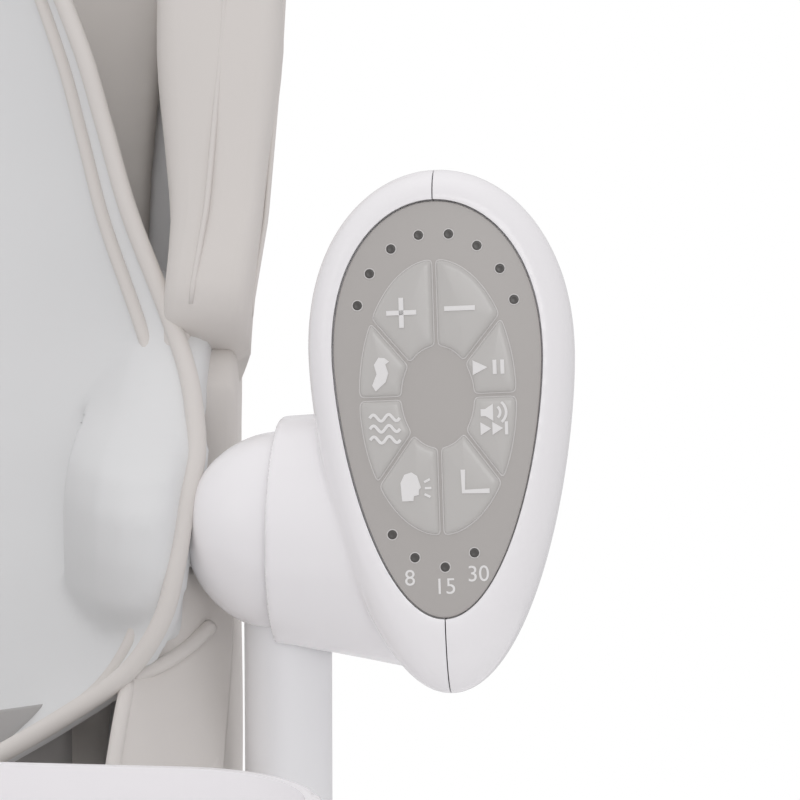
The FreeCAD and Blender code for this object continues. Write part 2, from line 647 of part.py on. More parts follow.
def pan_point(across, run):
    """Point under the pan, run along it from the hip."""
    return Vec(across, hip[0] + ALONG_PAN[0] * run - OFF_PAN[0] * drop,
               hub + hip[1] + ALONG_PAN[1] * run - OFF_PAN[1] * drop)


BRACE_RUN = (10, pan_length - 14)
edges = []
for sign in (1, -1):
    middle = pan_point(sign * (brace_half - bend * (1 - math.sqrt(0.5))),
                       BRACE_RUN[1] - bend * (1 - math.sqrt(0.5)))
    leg = Part.makeLine(pan_point(sign * brace_half, BRACE_RUN[0]),
                        pan_point(sign * brace_half, BRACE_RUN[1] - bend))
    arc = Part.Arc(pan_point(sign * brace_half, BRACE_RUN[1] - bend), middle,
                   pan_point(sign * (brace_half - bend), BRACE_RUN[1])).toShape()
    edges += [leg, arc]
edges.append(Part.makeLine(pan_point(brace_half - bend, BRACE_RUN[1]),
                           pan_point(bend - brace_half, BRACE_RUN[1])))
brace_path = Part.Wire(Part.__sortEdges__(edges))
brace_start = pan_point(brace_half, BRACE_RUN[0])
brace_way = pan_point(brace_half, BRACE_RUN[0] + 1) - brace_start
if (brace_path.Vertexes[0].Point - brace_start).Length > 1:
    brace_start = pan_point(-brace_half, BRACE_RUN[0])
pipes = []
for radius in (brace_r, brace_r - value("brace_wall")):
    ring = Part.Wire(Part.makeCircle(radius, brace_start, brace_way))
    pipes.append(brace_path.makePipeShell([ring], True, False))
keep(feature("seat_brace_tube", pipes[0].cut(pipes[1])), "seat_brace_tube")

# ---------------------------------------------------------------- seat cover and pads

gap = value("pad_gap")
inner_pad = value("inner_pad_x")
across_x = Vec(1, 0, 0)


def soft_slab(points, low_x, high_x, radius):
    return rounded(side_slab(points, low_x, high_x), radius, across_x)


keep(feature("back_pad", soft_slab(
    slab_along(hip, UP_BACK, OFF_BACK, 30, back - 12, gap, 15), -inner_pad, inner_pad, 5)), "back_pad")
keep(feature("seat_pad", soft_slab(
    slab_along(hip, ALONG_PAN, OFF_PAN, 2, pan_length - 4, gap, 22), -inner_pad, inner_pad, 8)), "seat_pad")
keep(feature("leg_pad", soft_slab(
    slab_along(KNEE, LEG, OFF_LEG, 12, 108, gap, 16), -115, 115, 5)), "leg_pad")
WING = [(78, 74), (49, 76), (52, 90), (150, 262), (178, 286), (216, 292), (254, 274), (262, 252),
        (150, 58), (100, 62)]
SIDE_PAD = [(-30, -112), (-30, -96), (6, -62), (22, -46), (50, -8), (52, 44), (66, 58), (140, 50),
            (108, -20), (26, -158), (-30, -150)]
pad_out = value("pad_outer_x")
wing_out = value("wing_outer_x")
for side, sign in (("right", 1), ("left", -1)):
    low_x, high_x = sorted((sign * (outer_x + gap), sign * wing_out))
    keep(feature("wing_" + side, side_slab(WING, low_x, high_x)), "wing_" + side)
    low_x, high_x = sorted((sign * (outer_x + gap), sign * pad_out))
    shape = side_slab(SIDE_PAD, low_x, high_x)
    shape = shape.cut(Part.makeCylinder(48, 80, Vec(low_x - 20, 0, hub), Vec(1, 0, 0)))
    keep(feature("side_pad_" + side, shape), "side_pad_" + side)

INSERT_SIDE = [(-100, -120), (-100, -98), (-44, -92), (10, -52), (36, 0), (52, 64), (134, 208),
               (176, 232), (214, 226), (40, -108), (28, -122)]
insert_back = side_slab(slab_along(hip, UP_BACK, OFF_BACK, 60, 450, 16, 26),
                         -inner_pad - 3, inner_pad + 3)
insert_out = inner_x - gap
insert = insert_back
for sign in (1, -1):
    low_x, high_x = sorted((sign * (inner_pad + 0.4), sign * insert_out))
    insert = insert.fuse(side_slab(INSERT_SIDE, low_x, high_x))
keep(feature("newborn_insert", insert.removeSplitter()), "newborn_insert")

# ---------------------------------------------------------------- harness

STRAP_HALF = 12
strap_front = 29
shoulder = []
for centre in (-45, 45):
    run = side_slab(slab_along(hip, UP_BACK, OFF_BACK, 96, 330, strap_front - 2.4, strap_front - 0.4),
                    centre - STRAP_HALF, centre + STRAP_HALF)
    shoulder.append(run)
BUCKLE = (-42, -98)
buckle_plate = side_slab([(BUCKLE[0] - 7, BUCKLE[1]), (BUCKLE[0] + 7, BUCKLE[1]),
                          (BUCKLE[0] + 7, BUCKLE[1] + 46), (BUCKLE[0] - 7, BUCKLE[1] + 46)], -24, 24)
buckle_plate = rounded(buckle_plate, 8, Vec(0, 1, 0))
button_z = hub + BUCKLE[1] + 23
button_room = Part.makeCylinder(9.2, 8, Vec(0, BUCKLE[0] - 8, button_z), Vec(0, 1, 0))
keep(feature("harness_buckle", buckle_plate.cut(button_room)), "harness_buckle")
keep(feature("buckle_button", Part.makeCylinder(9, 6, Vec(0, BUCKLE[0] - 9, button_z), Vec(0, 1, 0))),
     "buckle_button")
crotch = side_slab([(BUCKLE[0] - 1, -136), (BUCKLE[0] + 1, -136), (BUCKLE[0] + 1, BUCKLE[1] - 0.2),
                    (BUCKLE[0] - 1, BUCKLE[1] - 0.2)], -15, 15)
lap = shoulder + [crotch]
for sign in (1, -1):
    route = [(24.5, BUCKLE[0] - 1), (80, BUCKLE[0] + 8), (134, 6), (134, 8.2), (79, BUCKLE[0] + 10.2),
             (24.5, BUCKLE[0] + 1)]
    wire = Part.makePolygon([Vec(sign * x, y, hub + BUCKLE[1] + 8) for x, y in route + route[:1]])
    lap.append(Part.Face(wire).extrude(Vec(0, 0, 2 * STRAP_HALF)))
keep(feature("harness_straps", Part.makeCompound(lap)), "harness_straps")

# ---------------------------------------------------------------- tray and its rails

RAIL_Y = (-165, -40)
RAIL_Z = (-120, -96)
for side, sign in (("right", 1), ("left", -1)):
    low_x, high_x = sorted((sign * value("rail_in_x"), sign * value("rail_out_x")))
    rail = Part.makeBox(high_x - low_x, RAIL_Y[1] - RAIL_Y[0], RAIL_Z[1] - RAIL_Z[0],
                        Vec(low_x, RAIL_Y[0], hub + RAIL_Z[0]))
    low_x, high_x = sorted((sign * (value("arm_in_x") - 1), sign * (value("arm_out_x") + 1)))
    slot = Part.makeBox(high_x - low_x, 140, RAIL_Z[1] - RAIL_Z[0] - 10,
                        Vec(low_x, RAIL_Y[0] - 20, hub + RAIL_Z[0] + 5))
    keep(feature("tray_rail_" + side, rail.cut(slot)), "tray_rail_" + side)

half = value("tray_half")
corner = value("tray_corner")
rear = value("tray_back")
front = value("tray_front")
top = hub + value("tray_top")
depth = value("tray_depth")


def tray_block(inset, low, high):
    """Rounded plate of the tray's outline."""
    block = Part.makeBox(2 * (half - inset), rear - front - 2 * inset, high - low,
                         Vec(-half + inset, front + inset, low))
    return rounded(block, corner - inset, Vec(0, 0, 1))


tray_wall = value("tray_wall")
tray = tray_block(0, top - depth, top)
tray = tray.makeFillet(5, [edge for edge in tray.Edges if abs(edge.BoundBox.ZMin - top) < 1e-6])
tray = tray.cut(tray_block(tray_wall, top - depth + 4, top + 1))
keep(feature("tray", tray), "tray")
arms = []
for sign in (1, -1):
    low_x, high_x = sorted((sign * value("arm_in_x"), sign * value("arm_out_x")))
    arm = Part.makeBox(high_x - low_x, 155, 12, Vec(low_x, -210, hub - 114))
    riser = Part.makeBox(high_x - low_x, 35, top - depth - hub + 114, Vec(low_x, -210, hub - 114))
    arms.append(arm.fuse(riser))
keep(feature("tray_arms", Part.makeCompound(arms)), "tray_arms")

# ---------------------------------------------------------------- check and write

doc.recompute()
for obj in doc.Objects:
    if "Invalid" in obj.State or "Error" in obj.State:
        raise RuntimeError("%s did not compute: %s" % (obj.Label, obj.State))
os.makedirs("parts", exist_ok=True)
for obj in nodes:
    if obj.Shape.isNull() or not obj.Shape.isValid() or not obj.Shape.Solids:
        raise RuntimeError("%s has no valid solid" % obj.Label)
for obj in nodes:
    obj.Shape.exportStep("parts/%s.step" % obj.Label)
print(len(nodes), "nodes")
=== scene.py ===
"""Looks of the baby swing: its control pod, hub balls and padded seat fabric over the CAD frame."""

import math
import random

import json

import bmesh
import bpy
from mathutils import Matrix, Vector


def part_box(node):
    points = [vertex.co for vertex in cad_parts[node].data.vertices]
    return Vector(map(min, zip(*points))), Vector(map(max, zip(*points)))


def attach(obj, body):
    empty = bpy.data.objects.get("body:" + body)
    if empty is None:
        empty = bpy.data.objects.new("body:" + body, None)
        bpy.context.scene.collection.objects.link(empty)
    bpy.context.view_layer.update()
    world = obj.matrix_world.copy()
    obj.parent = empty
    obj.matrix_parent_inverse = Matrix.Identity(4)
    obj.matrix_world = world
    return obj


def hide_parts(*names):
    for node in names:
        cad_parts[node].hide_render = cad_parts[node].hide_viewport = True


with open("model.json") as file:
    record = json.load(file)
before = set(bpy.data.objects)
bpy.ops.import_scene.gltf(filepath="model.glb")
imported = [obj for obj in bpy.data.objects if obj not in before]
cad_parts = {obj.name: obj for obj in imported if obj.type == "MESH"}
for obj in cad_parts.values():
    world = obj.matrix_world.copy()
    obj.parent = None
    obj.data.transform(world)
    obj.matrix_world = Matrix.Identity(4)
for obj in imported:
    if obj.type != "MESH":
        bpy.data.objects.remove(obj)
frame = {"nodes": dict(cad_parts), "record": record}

bl_info = {
    "name": "Baby swing looks",
    "version": (1, 0, 0),
    "blender": (4, 5, 0),
    "location": "View3D > Sidebar > Baby swing",
    "description": "Builds the shown pieces of a baby swing around its CAD frame",
    "category": "Object",
}

MM = 0.001
HUB = (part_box("axle_right")[0].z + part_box("axle_right")[1].z) / 2
UP_BACK = Vector((0, 0.5, 0.866))
OFF_BACK = Vector((0, -0.866, 0.5))
HIP = Vector((0, 20, -165))


# ---------------------------------------------------------------- places


def at(x, y, z):
    """A point given in millimetres from the swing axis, in the CAD frame."""
    return Vector((x * MM, y * MM, HUB + z * MM))


def on_back(x, along, off):
    """A point across, along and off the reclined back, in millimetres from the hip line."""
    p = HIP + along * UP_BACK + off * OFF_BACK
    return at(x, p.y, p.z)


def face_matrix():
    """The pod's face: X to the right, Y up the face, Z out of it."""
    turn = Matrix.Rotation(math.radians(-12), 4, "X") @ Matrix.Rotation(math.radians(-3), 4, "Y")
    turn = turn @ Matrix.Rotation(math.radians(90), 4, "X")
    return Matrix.Translation(at(269.8, -41, 50.3)) @ turn


FACE = face_matrix()


def on_face(x, y, z):
    return FACE @ Vector((x * MM, y * MM, z * MM))


def between(table, value):
    """Straight-line value between the two rows of the table that value lies between."""
    for (a, left), (b, right) in zip(table, table[1:]):
        if value <= b:
            share = max(0.0, (value - a) / (b - a))
            return left + (right - left) * share
    return table[-1][1]


def smooth_path(points, steps=8):
    """A Catmull-Rom curve through the points."""
    pts = [Vector(p) for p in points]
    pts = [pts[0] * 2 - pts[1]] + pts + [pts[-1] * 2 - pts[-2]]
    out = []
    for a, b, c, d in zip(pts, pts[1:], pts[2:], pts[3:]):
        for i in range(steps):
            t = i / steps
            out.append(0.5 * (2 * b + (c - a) * t + (2 * a - 5 * b + 4 * c - d) * t * t
                              + (3 * b - a - 3 * c + d) * t ** 3))
    out.append(pts[-2])
    return out


def rounded_loop(corners, radius, steps=6):
    """A closed outline of 2D corners, each rounded. radius is one number or one for each corner."""
    radii = radius if isinstance(radius, (list, tuple)) else [radius] * len(corners)
    pts = [Vector(c) for c in corners]
    out = []
    for i, p in enumerate(pts):
        before = (pts[i - 1] - p)
        after = (pts[(i + 1) % len(pts)] - p)
        cut = min(radii[i], before.length * 0.48, after.length * 0.48)
        a = p + before.normalized() * cut
        b = p + after.normalized() * cut
        for k in range(steps + 1):
            t = k / steps
            out.append(a * (1 - t) ** 2 + p * 2 * t * (1 - t) + b * t * t)
    return out


# ---------------------------------------------------------------- meshes


def mesh_object(name, verts, faces, smooth=True):
    """A new object with consistent outward normals."""
    mesh = bpy.data.meshes.new(name)
    mesh.from_pydata([tuple(v) for v in verts], [], faces)
    bm = bmesh.new()
    bm.from_mesh(mesh)
    bmesh.ops.remove_doubles(bm, verts=bm.verts, dist=1e-6)
    bmesh.ops.recalc_face_normals(bm, faces=bm.faces)
    bm.to_mesh(mesh)
    bm.free()
    for poly in mesh.polygons:
        poly.use_smooth = smooth
    obj = bpy.data.objects.new(name, mesh)
    bpy.context.scene.collection.objects.link(obj)
    return obj


def loft(name, rings, closed=True, capped=True, smooth=True):
    """A skin over rings that all have the same number of points."""
    count = len(rings[0])
    verts = [p for ring in rings for p in ring]
    faces = []
    for r in range(len(rings) - 1):
        for i in range(count if closed else count - 1):
            j = (i + 1) % count
            faces.append((r * count + i, r * count + j, (r + 1) * count + j, (r + 1) * count + i))
    if capped:
        for r in (0, len(rings) - 1):
            centre = sum((Vector(p) for p in rings[r]), Vector()) / count
            verts.append(centre)
            tip = len(verts) - 1
            faces += [(r * count + i, r * count + (i + 1) % count, tip) for i in range(count)]
    return mesh_object(name, verts, faces, smooth)


def tube(name, path, radius, sides=12, flat=1.0, smooth=True):
    """A round or flattened cord of material along a path. radius may be a function of the share along it."""
    pts = [Vector(p) for p in path]
    rings = []
    side = None
    for i, p in enumerate(pts):
        ahead = (pts[min(i + 1, len(pts) - 1)] - pts[max(i - 1, 0)]).normalized()
        if side is None:
            side = ahead.orthogonal().normalized()
        side = (side - ahead * side.dot(ahead)).normalized()
        other = ahead.cross(side)
        r = radius(i / (len(pts) - 1)) if callable(radius) else radius
        rings.append([p + side * math.cos(a) * r + other * math.sin(a) * r * flat
                      for a in (2 * math.pi * k / sides for k in range(sides))])
    return loft(name, rings, smooth=smooth)


def lathe(name, profile, origin, axis, sides=96):
    """A profile of (along, radius) millimetre pairs turned about an axis."""
    axis = Vector(axis).normalized()
    side = axis.orthogonal().normalized()
    other = axis.cross(side)
    rings = []
    for along, r in profile:
        centre = origin + axis * along * MM
        rings.append([centre + (side * math.cos(a) + other * math.sin(a)) * max(r, 0.001) * MM
                      for a in (2 * math.pi * k / sides for k in range(sides))])
    return loft(name, rings)


def only(obj):
    bpy.ops.object.select_all(action="DESELECT")
    obj.select_set(True)
    bpy.context.view_layer.objects.active = obj


def apply_modifier(obj, kind, **settings):
    modifier = obj.modifiers.new(kind.lower(), kind)
    for key, value in settings.items():
        setattr(modifier, key, value)
    only(obj)
    bpy.ops.object.modifier_apply(modifier=modifier.name)


def cut(obj, tool, operation="DIFFERENCE"):
    """Cuts obj with tool, or joins them, and removes the tool."""
    apply_modifier(obj, "BOOLEAN", object=tool, operation=operation, solver="EXACT")
    bpy.data.objects.remove(tool)
    if not obj.data.vertices:
        raise RuntimeError(f"{obj.name} is empty after a cut")


def melt(objs, size, rounds, name):
    """Joins pieces into one skin of even cells and softens where they meet."""
    bpy.ops.object.select_all(action="DESELECT")
    for o in objs:
        o.select_set(True)
    bpy.context.view_layer.objects.active = objs[0]
    if len(objs) > 1:
        bpy.ops.object.join()
    obj = bpy.context.view_layer.objects.active
    obj.name = name
    apply_modifier(obj, "REMESH", mode="VOXEL", voxel_size=size * MM, use_smooth_shade=True)
    if rounds:
        apply_modifier(obj, "SMOOTH", factor=0.5, iterations=rounds)
    return obj


def joined(objs, name):
    """One object out of several, with their meshes unchanged."""
    bpy.ops.object.select_all(action="DESELECT")
    for o in objs:
        o.select_set(True)
    bpy.context.view_layer.objects.active = objs[0]
    if len(objs) > 1:
        bpy.ops.object.join()
    obj = bpy.context.view_layer.objects.active
    obj.name = name
    return obj


def dressed(obj, material):
    obj.data.materials.clear()
    obj.data.materials.append(material)
    return obj


def sharp_shade(obj, angle=35):
    """Smooth shading that keeps edges sharper than the angle."""
    only(obj)
    bpy.ops.object.shade_smooth_by_angle(angle=math.radians(angle))
    return obj


# ---------------------------------------------------------------- materials


def group_sockets(group, inputs, outputs):
    for name, default in inputs:
        socket = group.interface.new_socket(name, in_out="INPUT", socket_type="NodeSocketFloat")
        socket.default_value = default
    for name in outputs:
        group.interface.new_socket(name, in_out="OUTPUT", socket_type="NodeSocketFloat")


def grain_group():
    """Fine moulded grain: a bump height, a roughness and a faint shade that vary over the surface."""
    group = bpy.data.node_groups.get("moulded_grain")
    if group:
        return group
    group = bpy.data.node_groups.new("moulded_grain", "ShaderNodeTree")
    group_sockets(group, [("Cells", 900.0), ("Low", 0.3), ("High", 0.45)], ["Height", "Roughness", "Shade"])
    n, link = group.nodes, group.links.new
    source = n.new("NodeGroupInput")
    place = n.new("ShaderNodeTexCoord")
    fine = n.new("ShaderNodeTexNoise")
    fine.inputs["Detail"].default_value = 4
    broad = n.new("ShaderNodeTexNoise")
    broad.inputs["Scale"].default_value = 14
    broad.inputs["Detail"].default_value = 5
    sweep = n.new("ShaderNodeMapRange")
    sweep.inputs["From Min"].default_value = 0.3
    sweep.inputs["From Max"].default_value = 0.7
    out = n.new("NodeGroupOutput")
    link(place.outputs["Object"], fine.inputs["Vector"])
    link(place.outputs["Object"], broad.inputs["Vector"])
    link(source.outputs["Cells"], fine.inputs["Scale"])
    link(broad.outputs["Fac"], sweep.inputs["Value"])
    link(source.outputs["Low"], sweep.inputs["To Min"])
    link(source.outputs["High"], sweep.inputs["To Max"])
    link(fine.outputs["Fac"], out.inputs["Height"])
    link(sweep.outputs["Result"], out.inputs["Roughness"])
    link(broad.outputs["Fac"], out.inputs["Shade"])
    return group


def weave_group():
    """A close knit: crossing ribs with slow tonal drift and soft creases."""
    group = bpy.data.node_groups.get("weave")
    if group:
        return group
    group = bpy.data.node_groups.new("weave", "ShaderNodeTree")
    group_sockets(group, [("Threads", 900.0)], ["Height", "Shade", "Crease"])
    n, link = group.nodes, group.links.new
    source = n.new("NodeGroupInput")
    place = n.new("ShaderNodeTexCoord")
    bands = []
    for direction in ("X", "Z"):
        wave = n.new("ShaderNodeTexWave")
        wave.wave_type = "BANDS"
        wave.bands_direction = direction
        wave.inputs["Distortion"].default_value = 1.2
        wave.inputs["Detail"].default_value = 1
        link(place.outputs["Object"], wave.inputs["Vector"])
        link(source.outputs["Threads"], wave.inputs["Scale"])
        bands.append(wave)
    height = n.new("ShaderNodeMath")
    height.operation = "MULTIPLY"
    drift = n.new("ShaderNodeTexNoise")
    drift.inputs["Scale"].default_value = 60
    drift.inputs["Detail"].default_value = 6
    crease = n.new("ShaderNodeTexNoise")
    crease.inputs["Scale"].default_value = 18
    crease.inputs["Detail"].default_value = 2
    crease.inputs["Distortion"].default_value = 1.5
    out = n.new("NodeGroupOutput")
    link(bands[0].outputs["Fac"], height.inputs[0])
    link(bands[1].outputs["Fac"], height.inputs[1])
    link(place.outputs["Object"], drift.inputs["Vector"])
    link(place.outputs["Object"], crease.inputs["Vector"])
    link(height.outputs["Value"], out.inputs["Height"])
    link(drift.outputs["Fac"], out.inputs["Shade"])
    link(crease.outputs["Fac"], out.inputs["Crease"])
    return group


def tone_link(tree, fac, colour, spread, socket):
    """A ramp from a slightly darker to a slightly lighter tone of the colour."""
    ramp = tree.nodes.new("ShaderNodeValToRGB")
    for element, share in zip(ramp.color_ramp.elements, (1 - spread, 1 + spread)):
        element.color = tuple(min(1.0, c * share) for c in colour) + (1.0,)
    ramp.color_ramp.elements[0].position = 0.3
    ramp.color_ramp.elements[1].position = 0.7
    tree.links.new(fac, ramp.inputs["Fac"])
    tree.links.new(ramp.outputs["Color"], socket)


def linear(red, green, blue):
    """Linear colour of display values 0 to 255."""
    return tuple(((v / 255 + 0.055) / 1.055) ** 2.4 if v > 10 else v / 3294 for v in (red, green, blue))


def bump_link(tree, height, strength, distance, shader):
    bump = tree.nodes.new("ShaderNodeBump")
    bump.inputs["Strength"].default_value = strength
    bump.inputs["Distance"].default_value = distance
    tree.links.new(height, bump.inputs["Height"])
    tree.links.new(bump.outputs["Normal"], shader.inputs["Normal"])
    return bump


def blank_material(name):
    material = bpy.data.materials.new(name)
    material.use_nodes = True
    return material, material.node_tree, material.node_tree.nodes["Principled BSDF"]


def plastic(name, colour, low=0.28, high=0.4, bump=0.05, coat=0.0, metal=0.0, cells=900.0):
    """A moulded, painted or metal finish with fine grain."""
    if name in bpy.data.materials:
        return bpy.data.materials[name]
    material, tree, shader = blank_material(name)
    grain = tree.nodes.new("ShaderNodeGroup")
    grain.node_tree = grain_group()
    grain.inputs["Cells"].default_value = cells
    grain.inputs["Low"].default_value = low
    grain.inputs["High"].default_value = high
    tone_link(tree, grain.outputs["Shade"], colour, 0.015, shader.inputs["Base Color"])
    tree.links.new(grain.outputs["Roughness"], shader.inputs["Roughness"])
    bump_link(tree, grain.outputs["Height"], bump, 0.0004, shader)
    shader.inputs["Coat Weight"].default_value = coat
    shader.inputs["Coat Roughness"].default_value = 0.12
    shader.inputs["Metallic"].default_value = metal
    return material


def fabric(name, colour, bump=0.35, threads=900.0, crease=0.25, fuzz=0.35):
    """A soft woven or knitted cloth."""
    if name in bpy.data.materials:
        return bpy.data.materials[name]
    material, tree, shader = blank_material(name)
    weave = tree.nodes.new("ShaderNodeGroup")
    weave.node_tree = weave_group()
    weave.inputs["Threads"].default_value = threads
    tone_link(tree, weave.outputs["Shade"], colour, 0.035, shader.inputs["Base Color"])
    fine = bump_link(tree, weave.outputs["Height"], bump, 0.0003, shader)
    soft = tree.nodes.new("ShaderNodeBump")
    soft.inputs["Strength"].default_value = crease
    soft.inputs["Distance"].default_value = 0.004
    tree.links.new(weave.outputs["Crease"], soft.inputs["Height"])
    tree.links.new(soft.outputs["Normal"], fine.inputs["Normal"])
    shader.inputs["Roughness"].default_value = 0.9
    shader.inputs["Sheen Weight"].default_value = fuzz
    shader.inputs["Sheen Roughness"].default_value = 0.5
    return material


def finish_named(slot_name):
    """The material for one of the record's slots."""
    makers = {
        "white_tube": lambda: plastic("white_tube", linear(236, 232, 234), 0.3, 0.4, 0.04, 0.15),
        "white_gloss": lambda: plastic("white_gloss", linear(238, 235, 236), 0.22, 0.3, 0.015, 0.3),
        "white_plastic": lambda: plastic("white_plastic", linear(232, 228, 229), 0.4, 0.5, 0.12),
        "grey_panel": lambda: plastic("grey_panel", linear(203, 199, 196), 0.38, 0.5, 0.08),
        "clear_key": lambda: plastic("clear_key", linear(208, 205, 203), 0.22, 0.3, 0.02, 0.4),
        # The dark lamp colour is partly the lamps' own dark lens and partly painted shade for the holes they
        # sit in.
        "dark_lamp": lambda: plastic("dark_lamp", linear(70, 66, 63), 0.2, 0.3, 0.02, 0.4),
        "silicone": lambda: plastic("silicone", linear(205, 203, 200), 0.5, 0.6, 0.05),
        "foot_rubber": lambda: plastic("foot_rubber", linear(118, 117, 116), 0.6, 0.75, 0.2),
        "board_green": lambda: plastic("board_green", linear(40, 96, 62), 0.35, 0.5, 0.05),
        "steel": lambda: plastic("steel", linear(196, 197, 199), 0.25, 0.36, 0.05, metal=1.0),
        "bush_plastic": lambda: plastic("bush_plastic", linear(206, 204, 200), 0.35, 0.45, 0.05),
        "gear_plastic": lambda: plastic("gear_plastic", linear(226, 222, 212), 0.35, 0.45, 0.05),
        "buckle_plastic": lambda: plastic("buckle_plastic", linear(150, 147, 144), 0.34, 0.45, 0.1),
        "button_red": lambda: plastic("button_red", linear(186, 60, 52), 0.3, 0.4, 0.05),
        "speaker_black": lambda: plastic("speaker_black", linear(44, 44, 45), 0.45, 0.6, 0.1),
        "beige_fabric": lambda: fabric("beige_fabric", linear(222, 217, 214)),
        "liner_fabric": lambda: fabric("liner_fabric", linear(233, 231, 229), 0.6, 700.0, 0.5, 0.6),
        "webbing": lambda: fabric("webbing", linear(168, 163, 158), 0.9, 500.0, 0.05, 0.2),
    }
    if slot_name not in makers:
        raise RuntimeError(f"no finish is written for slot {slot_name}")
    return makers[slot_name]()


# ---------------------------------------------------------------- control pod and hubs

HEAD = {"half": 45.3, "mid": 20.0, "up": 62.5, "down": 116.0}
PANEL = {"half": 35.6, "mid": 18.0, "up": 52.5, "down": 89.0}
TURNS = 160
HEAD_SECTIONS = ((24, 0), (42, 1.5), (52, 4), (60, 7.5), (68, 12), (74, 18), (79, 25), (82, 34))
NECK_PROFILE = ((0, 40.2), (8, 40.8), (20, 42), (32, 44), (46, 46.5), (58, 42), (64, 30))
BALL_RADIUS = 35.0
BALL_X = 212


def egg(sizes, angle, inset=0.0):
    """A point of the egg outline on the face, in millimetres."""
    upper = math.cos(angle) >= 0
    reach = (sizes["up"] if upper else sizes["down"]) - inset
    power = 2 / 2.2 if upper else 2 / 1.6
    x = (sizes["half"] - inset) * math.sin(angle)
    y = sizes["mid"] + math.copysign(reach * abs(math.cos(angle)) ** power, math.cos(angle))
    return x, y


def egg_ring(inset_panel, blend, depth, inset_head=0.0):
    """A ring between the panel outline and the head outline."""
    ring = []
    for k in range(TURNS):
        a = 2 * math.pi * k / TURNS
        px, py = egg(PANEL, a, inset_panel)
        hx, hy = egg(HEAD, a, inset_head)
        ring.append(on_face(px + (hx - px) * blend, py + (hy - py) * blend, -depth))
    return ring


def build_head(lip_depth, lip_power):
    """The two halves of the egg-shaped head with its neck, split along the face's middle plane."""
    rings = [egg_ring(12, 0.0, 5.0), egg_ring(0.6, 0.0, 0.3)]
    for k in range(1, 13):
        a = math.pi / 2 * k / 12
        rings.append(egg_ring(0.0, math.sin(a), lip_depth * (1 - math.cos(a) ** lip_power)))
    for depth, inset in HEAD_SECTIONS:
        rings.append(egg_ring(0.0, 1.0, depth, inset))
    egg_body = loft("head", rings)
    neck = lathe("neck", NECK_PROFILE, at(210, 0, 0), (1, 0, 0))
    head = melt([egg_body, neck], 1.3, 7, "head")
    recess = loft("recess", [egg_ring(-0.25, 0.0, depth) for depth in (-8.0, 3.9)], smooth=False)
    cut(head, recess)
    cut(head, lathe("ball_room", sphere_profile(BALL_RADIUS + 1.4), at(BALL_X, 0, 0), (1, 0, 0)))
    cut(head, lathe("post_room", [(0, 17.2), (60, 17.2)], at(213, 0, -70), (0, 0, 1)))
    halves = []
    for name, sign in (("control_head_inner", -1), ("control_head_outer", 1)):
        half = head.copy()
        half.data = head.data.copy()
        half.name = name
        bpy.context.scene.collection.objects.link(half)
        bm = bmesh.new()
        bm.from_mesh(half.data)
        normal = FACE.to_3x3() @ Vector((1, 0, 0))
        bmesh.ops.bisect_plane(bm, geom=bm.verts[:] + bm.edges[:] + bm.faces[:],
                               plane_co=on_face(0.2 * sign, 0, 0), plane_no=normal,
                               clear_outer=sign < 0, clear_inner=sign > 0)
        bmesh.ops.holes_fill(bm, edges=[e for e in bm.edges if e.is_boundary])
        bm.to_mesh(half.data)
        bm.free()
        sharp_shade(half)
        halves.append(half)
    bpy.data.objects.remove(head)
    return halves


def sphere_profile(radius, steps=48):
    return [(-radius * math.cos(math.pi * k / steps), radius * math.sin(math.pi * k / steps))
            for k in range(steps + 1)]


def build_ball(name, side):
    """A hub ball with the holes for its post and axle."""
    ball = lathe(name, sphere_profile(BALL_RADIUS), at(BALL_X * side, 0, 0), (1, 0, 0), 128)
    cut(ball, lathe("hole", [(0, 15.7), (40, 15.7)], at(213 * side, 0, -44), (0, 0, 1)))
    cut(ball, lathe("hole", [(0, 8.1), (20, 8.1)], at(170 * side, 0, 0), (side, 0, 0)))
    return sharp_shade(ball)


KEY_CENTRE = (-0.2, 3.7)
KEY_INNER = (12.6, 17.5)
KEY_OUTER = (26.4, 46.5)
KEY_GAP = 1.6
KEY_SPANS = {"key_slower": (0, 39.5), "key_play": (39.5, 90), "key_volume": (90, 144),
             "key_timer": (144, 180), "key_voice": (180, 216), "key_waves": (216, 270),
             "key_melody": (270, 320.5), "key_faster": (320.5, 360)}
PANEL_TOP = -1.2


def key_outline(node, grow=0.0):
    """The outline of a key: a wedge of an oval ring with rounded corners, in face millimetres."""
    start, end = (math.radians(a) for a in KEY_SPANS[node])
    out = []
    for radii, sign in ((KEY_OUTER, 1), (KEY_INNER, -1)):
        rx, ry = (r + sign * grow for r in radii)
        arc_points = []
        for k in range(25):
            a = start + (end - start) * k / 24
            reach = 1 / math.hypot(math.sin(a) / rx, math.cos(a) / ry)
            gap = math.asin((KEY_GAP / 2 - grow) / reach)
            a = start + gap + (end - start - 2 * gap) * k / 24
            reach = 1 / math.hypot(math.sin(a) / rx, math.cos(a) / ry)
            arc_points.append(Vector((KEY_CENTRE[0] + reach * math.sin(a),
                                      KEY_CENTRE[1] + reach * math.cos(a))))
        out.append(arc_points)
    outer, inner = out
    corners = outer + inner[::-1]
    dense = []
    for p, q in zip(corners, corners[1:] + corners[:1]):
        steps = max(1, int((q - p).length / 0.5))
        dense += [p + (q - p) * k / steps for k in range(steps)]
    for _ in range(8):
        dense = [(dense[i - 1] + dense[i] * 2 + dense[(i + 1) % len(dense)]) / 4 for i in range(len(dense))]
    return dense


def key_dome(name, node, rise):
    """A soft domed key with a rounded edge and a nearly flat top."""
    rings = []
    for inset, height in ((0, -0.9), (0, 0.15), (0.25, 0.5), (0.7, 0.78), (1.4, 0.93), (2.4, 1.0)):
        ring = [on_face(p.x, p.y, PANEL_TOP + height * rise) for p in key_outline(node, -inset)]
        rings.append(resampled(ring, 180))
    return loft(name, rings)


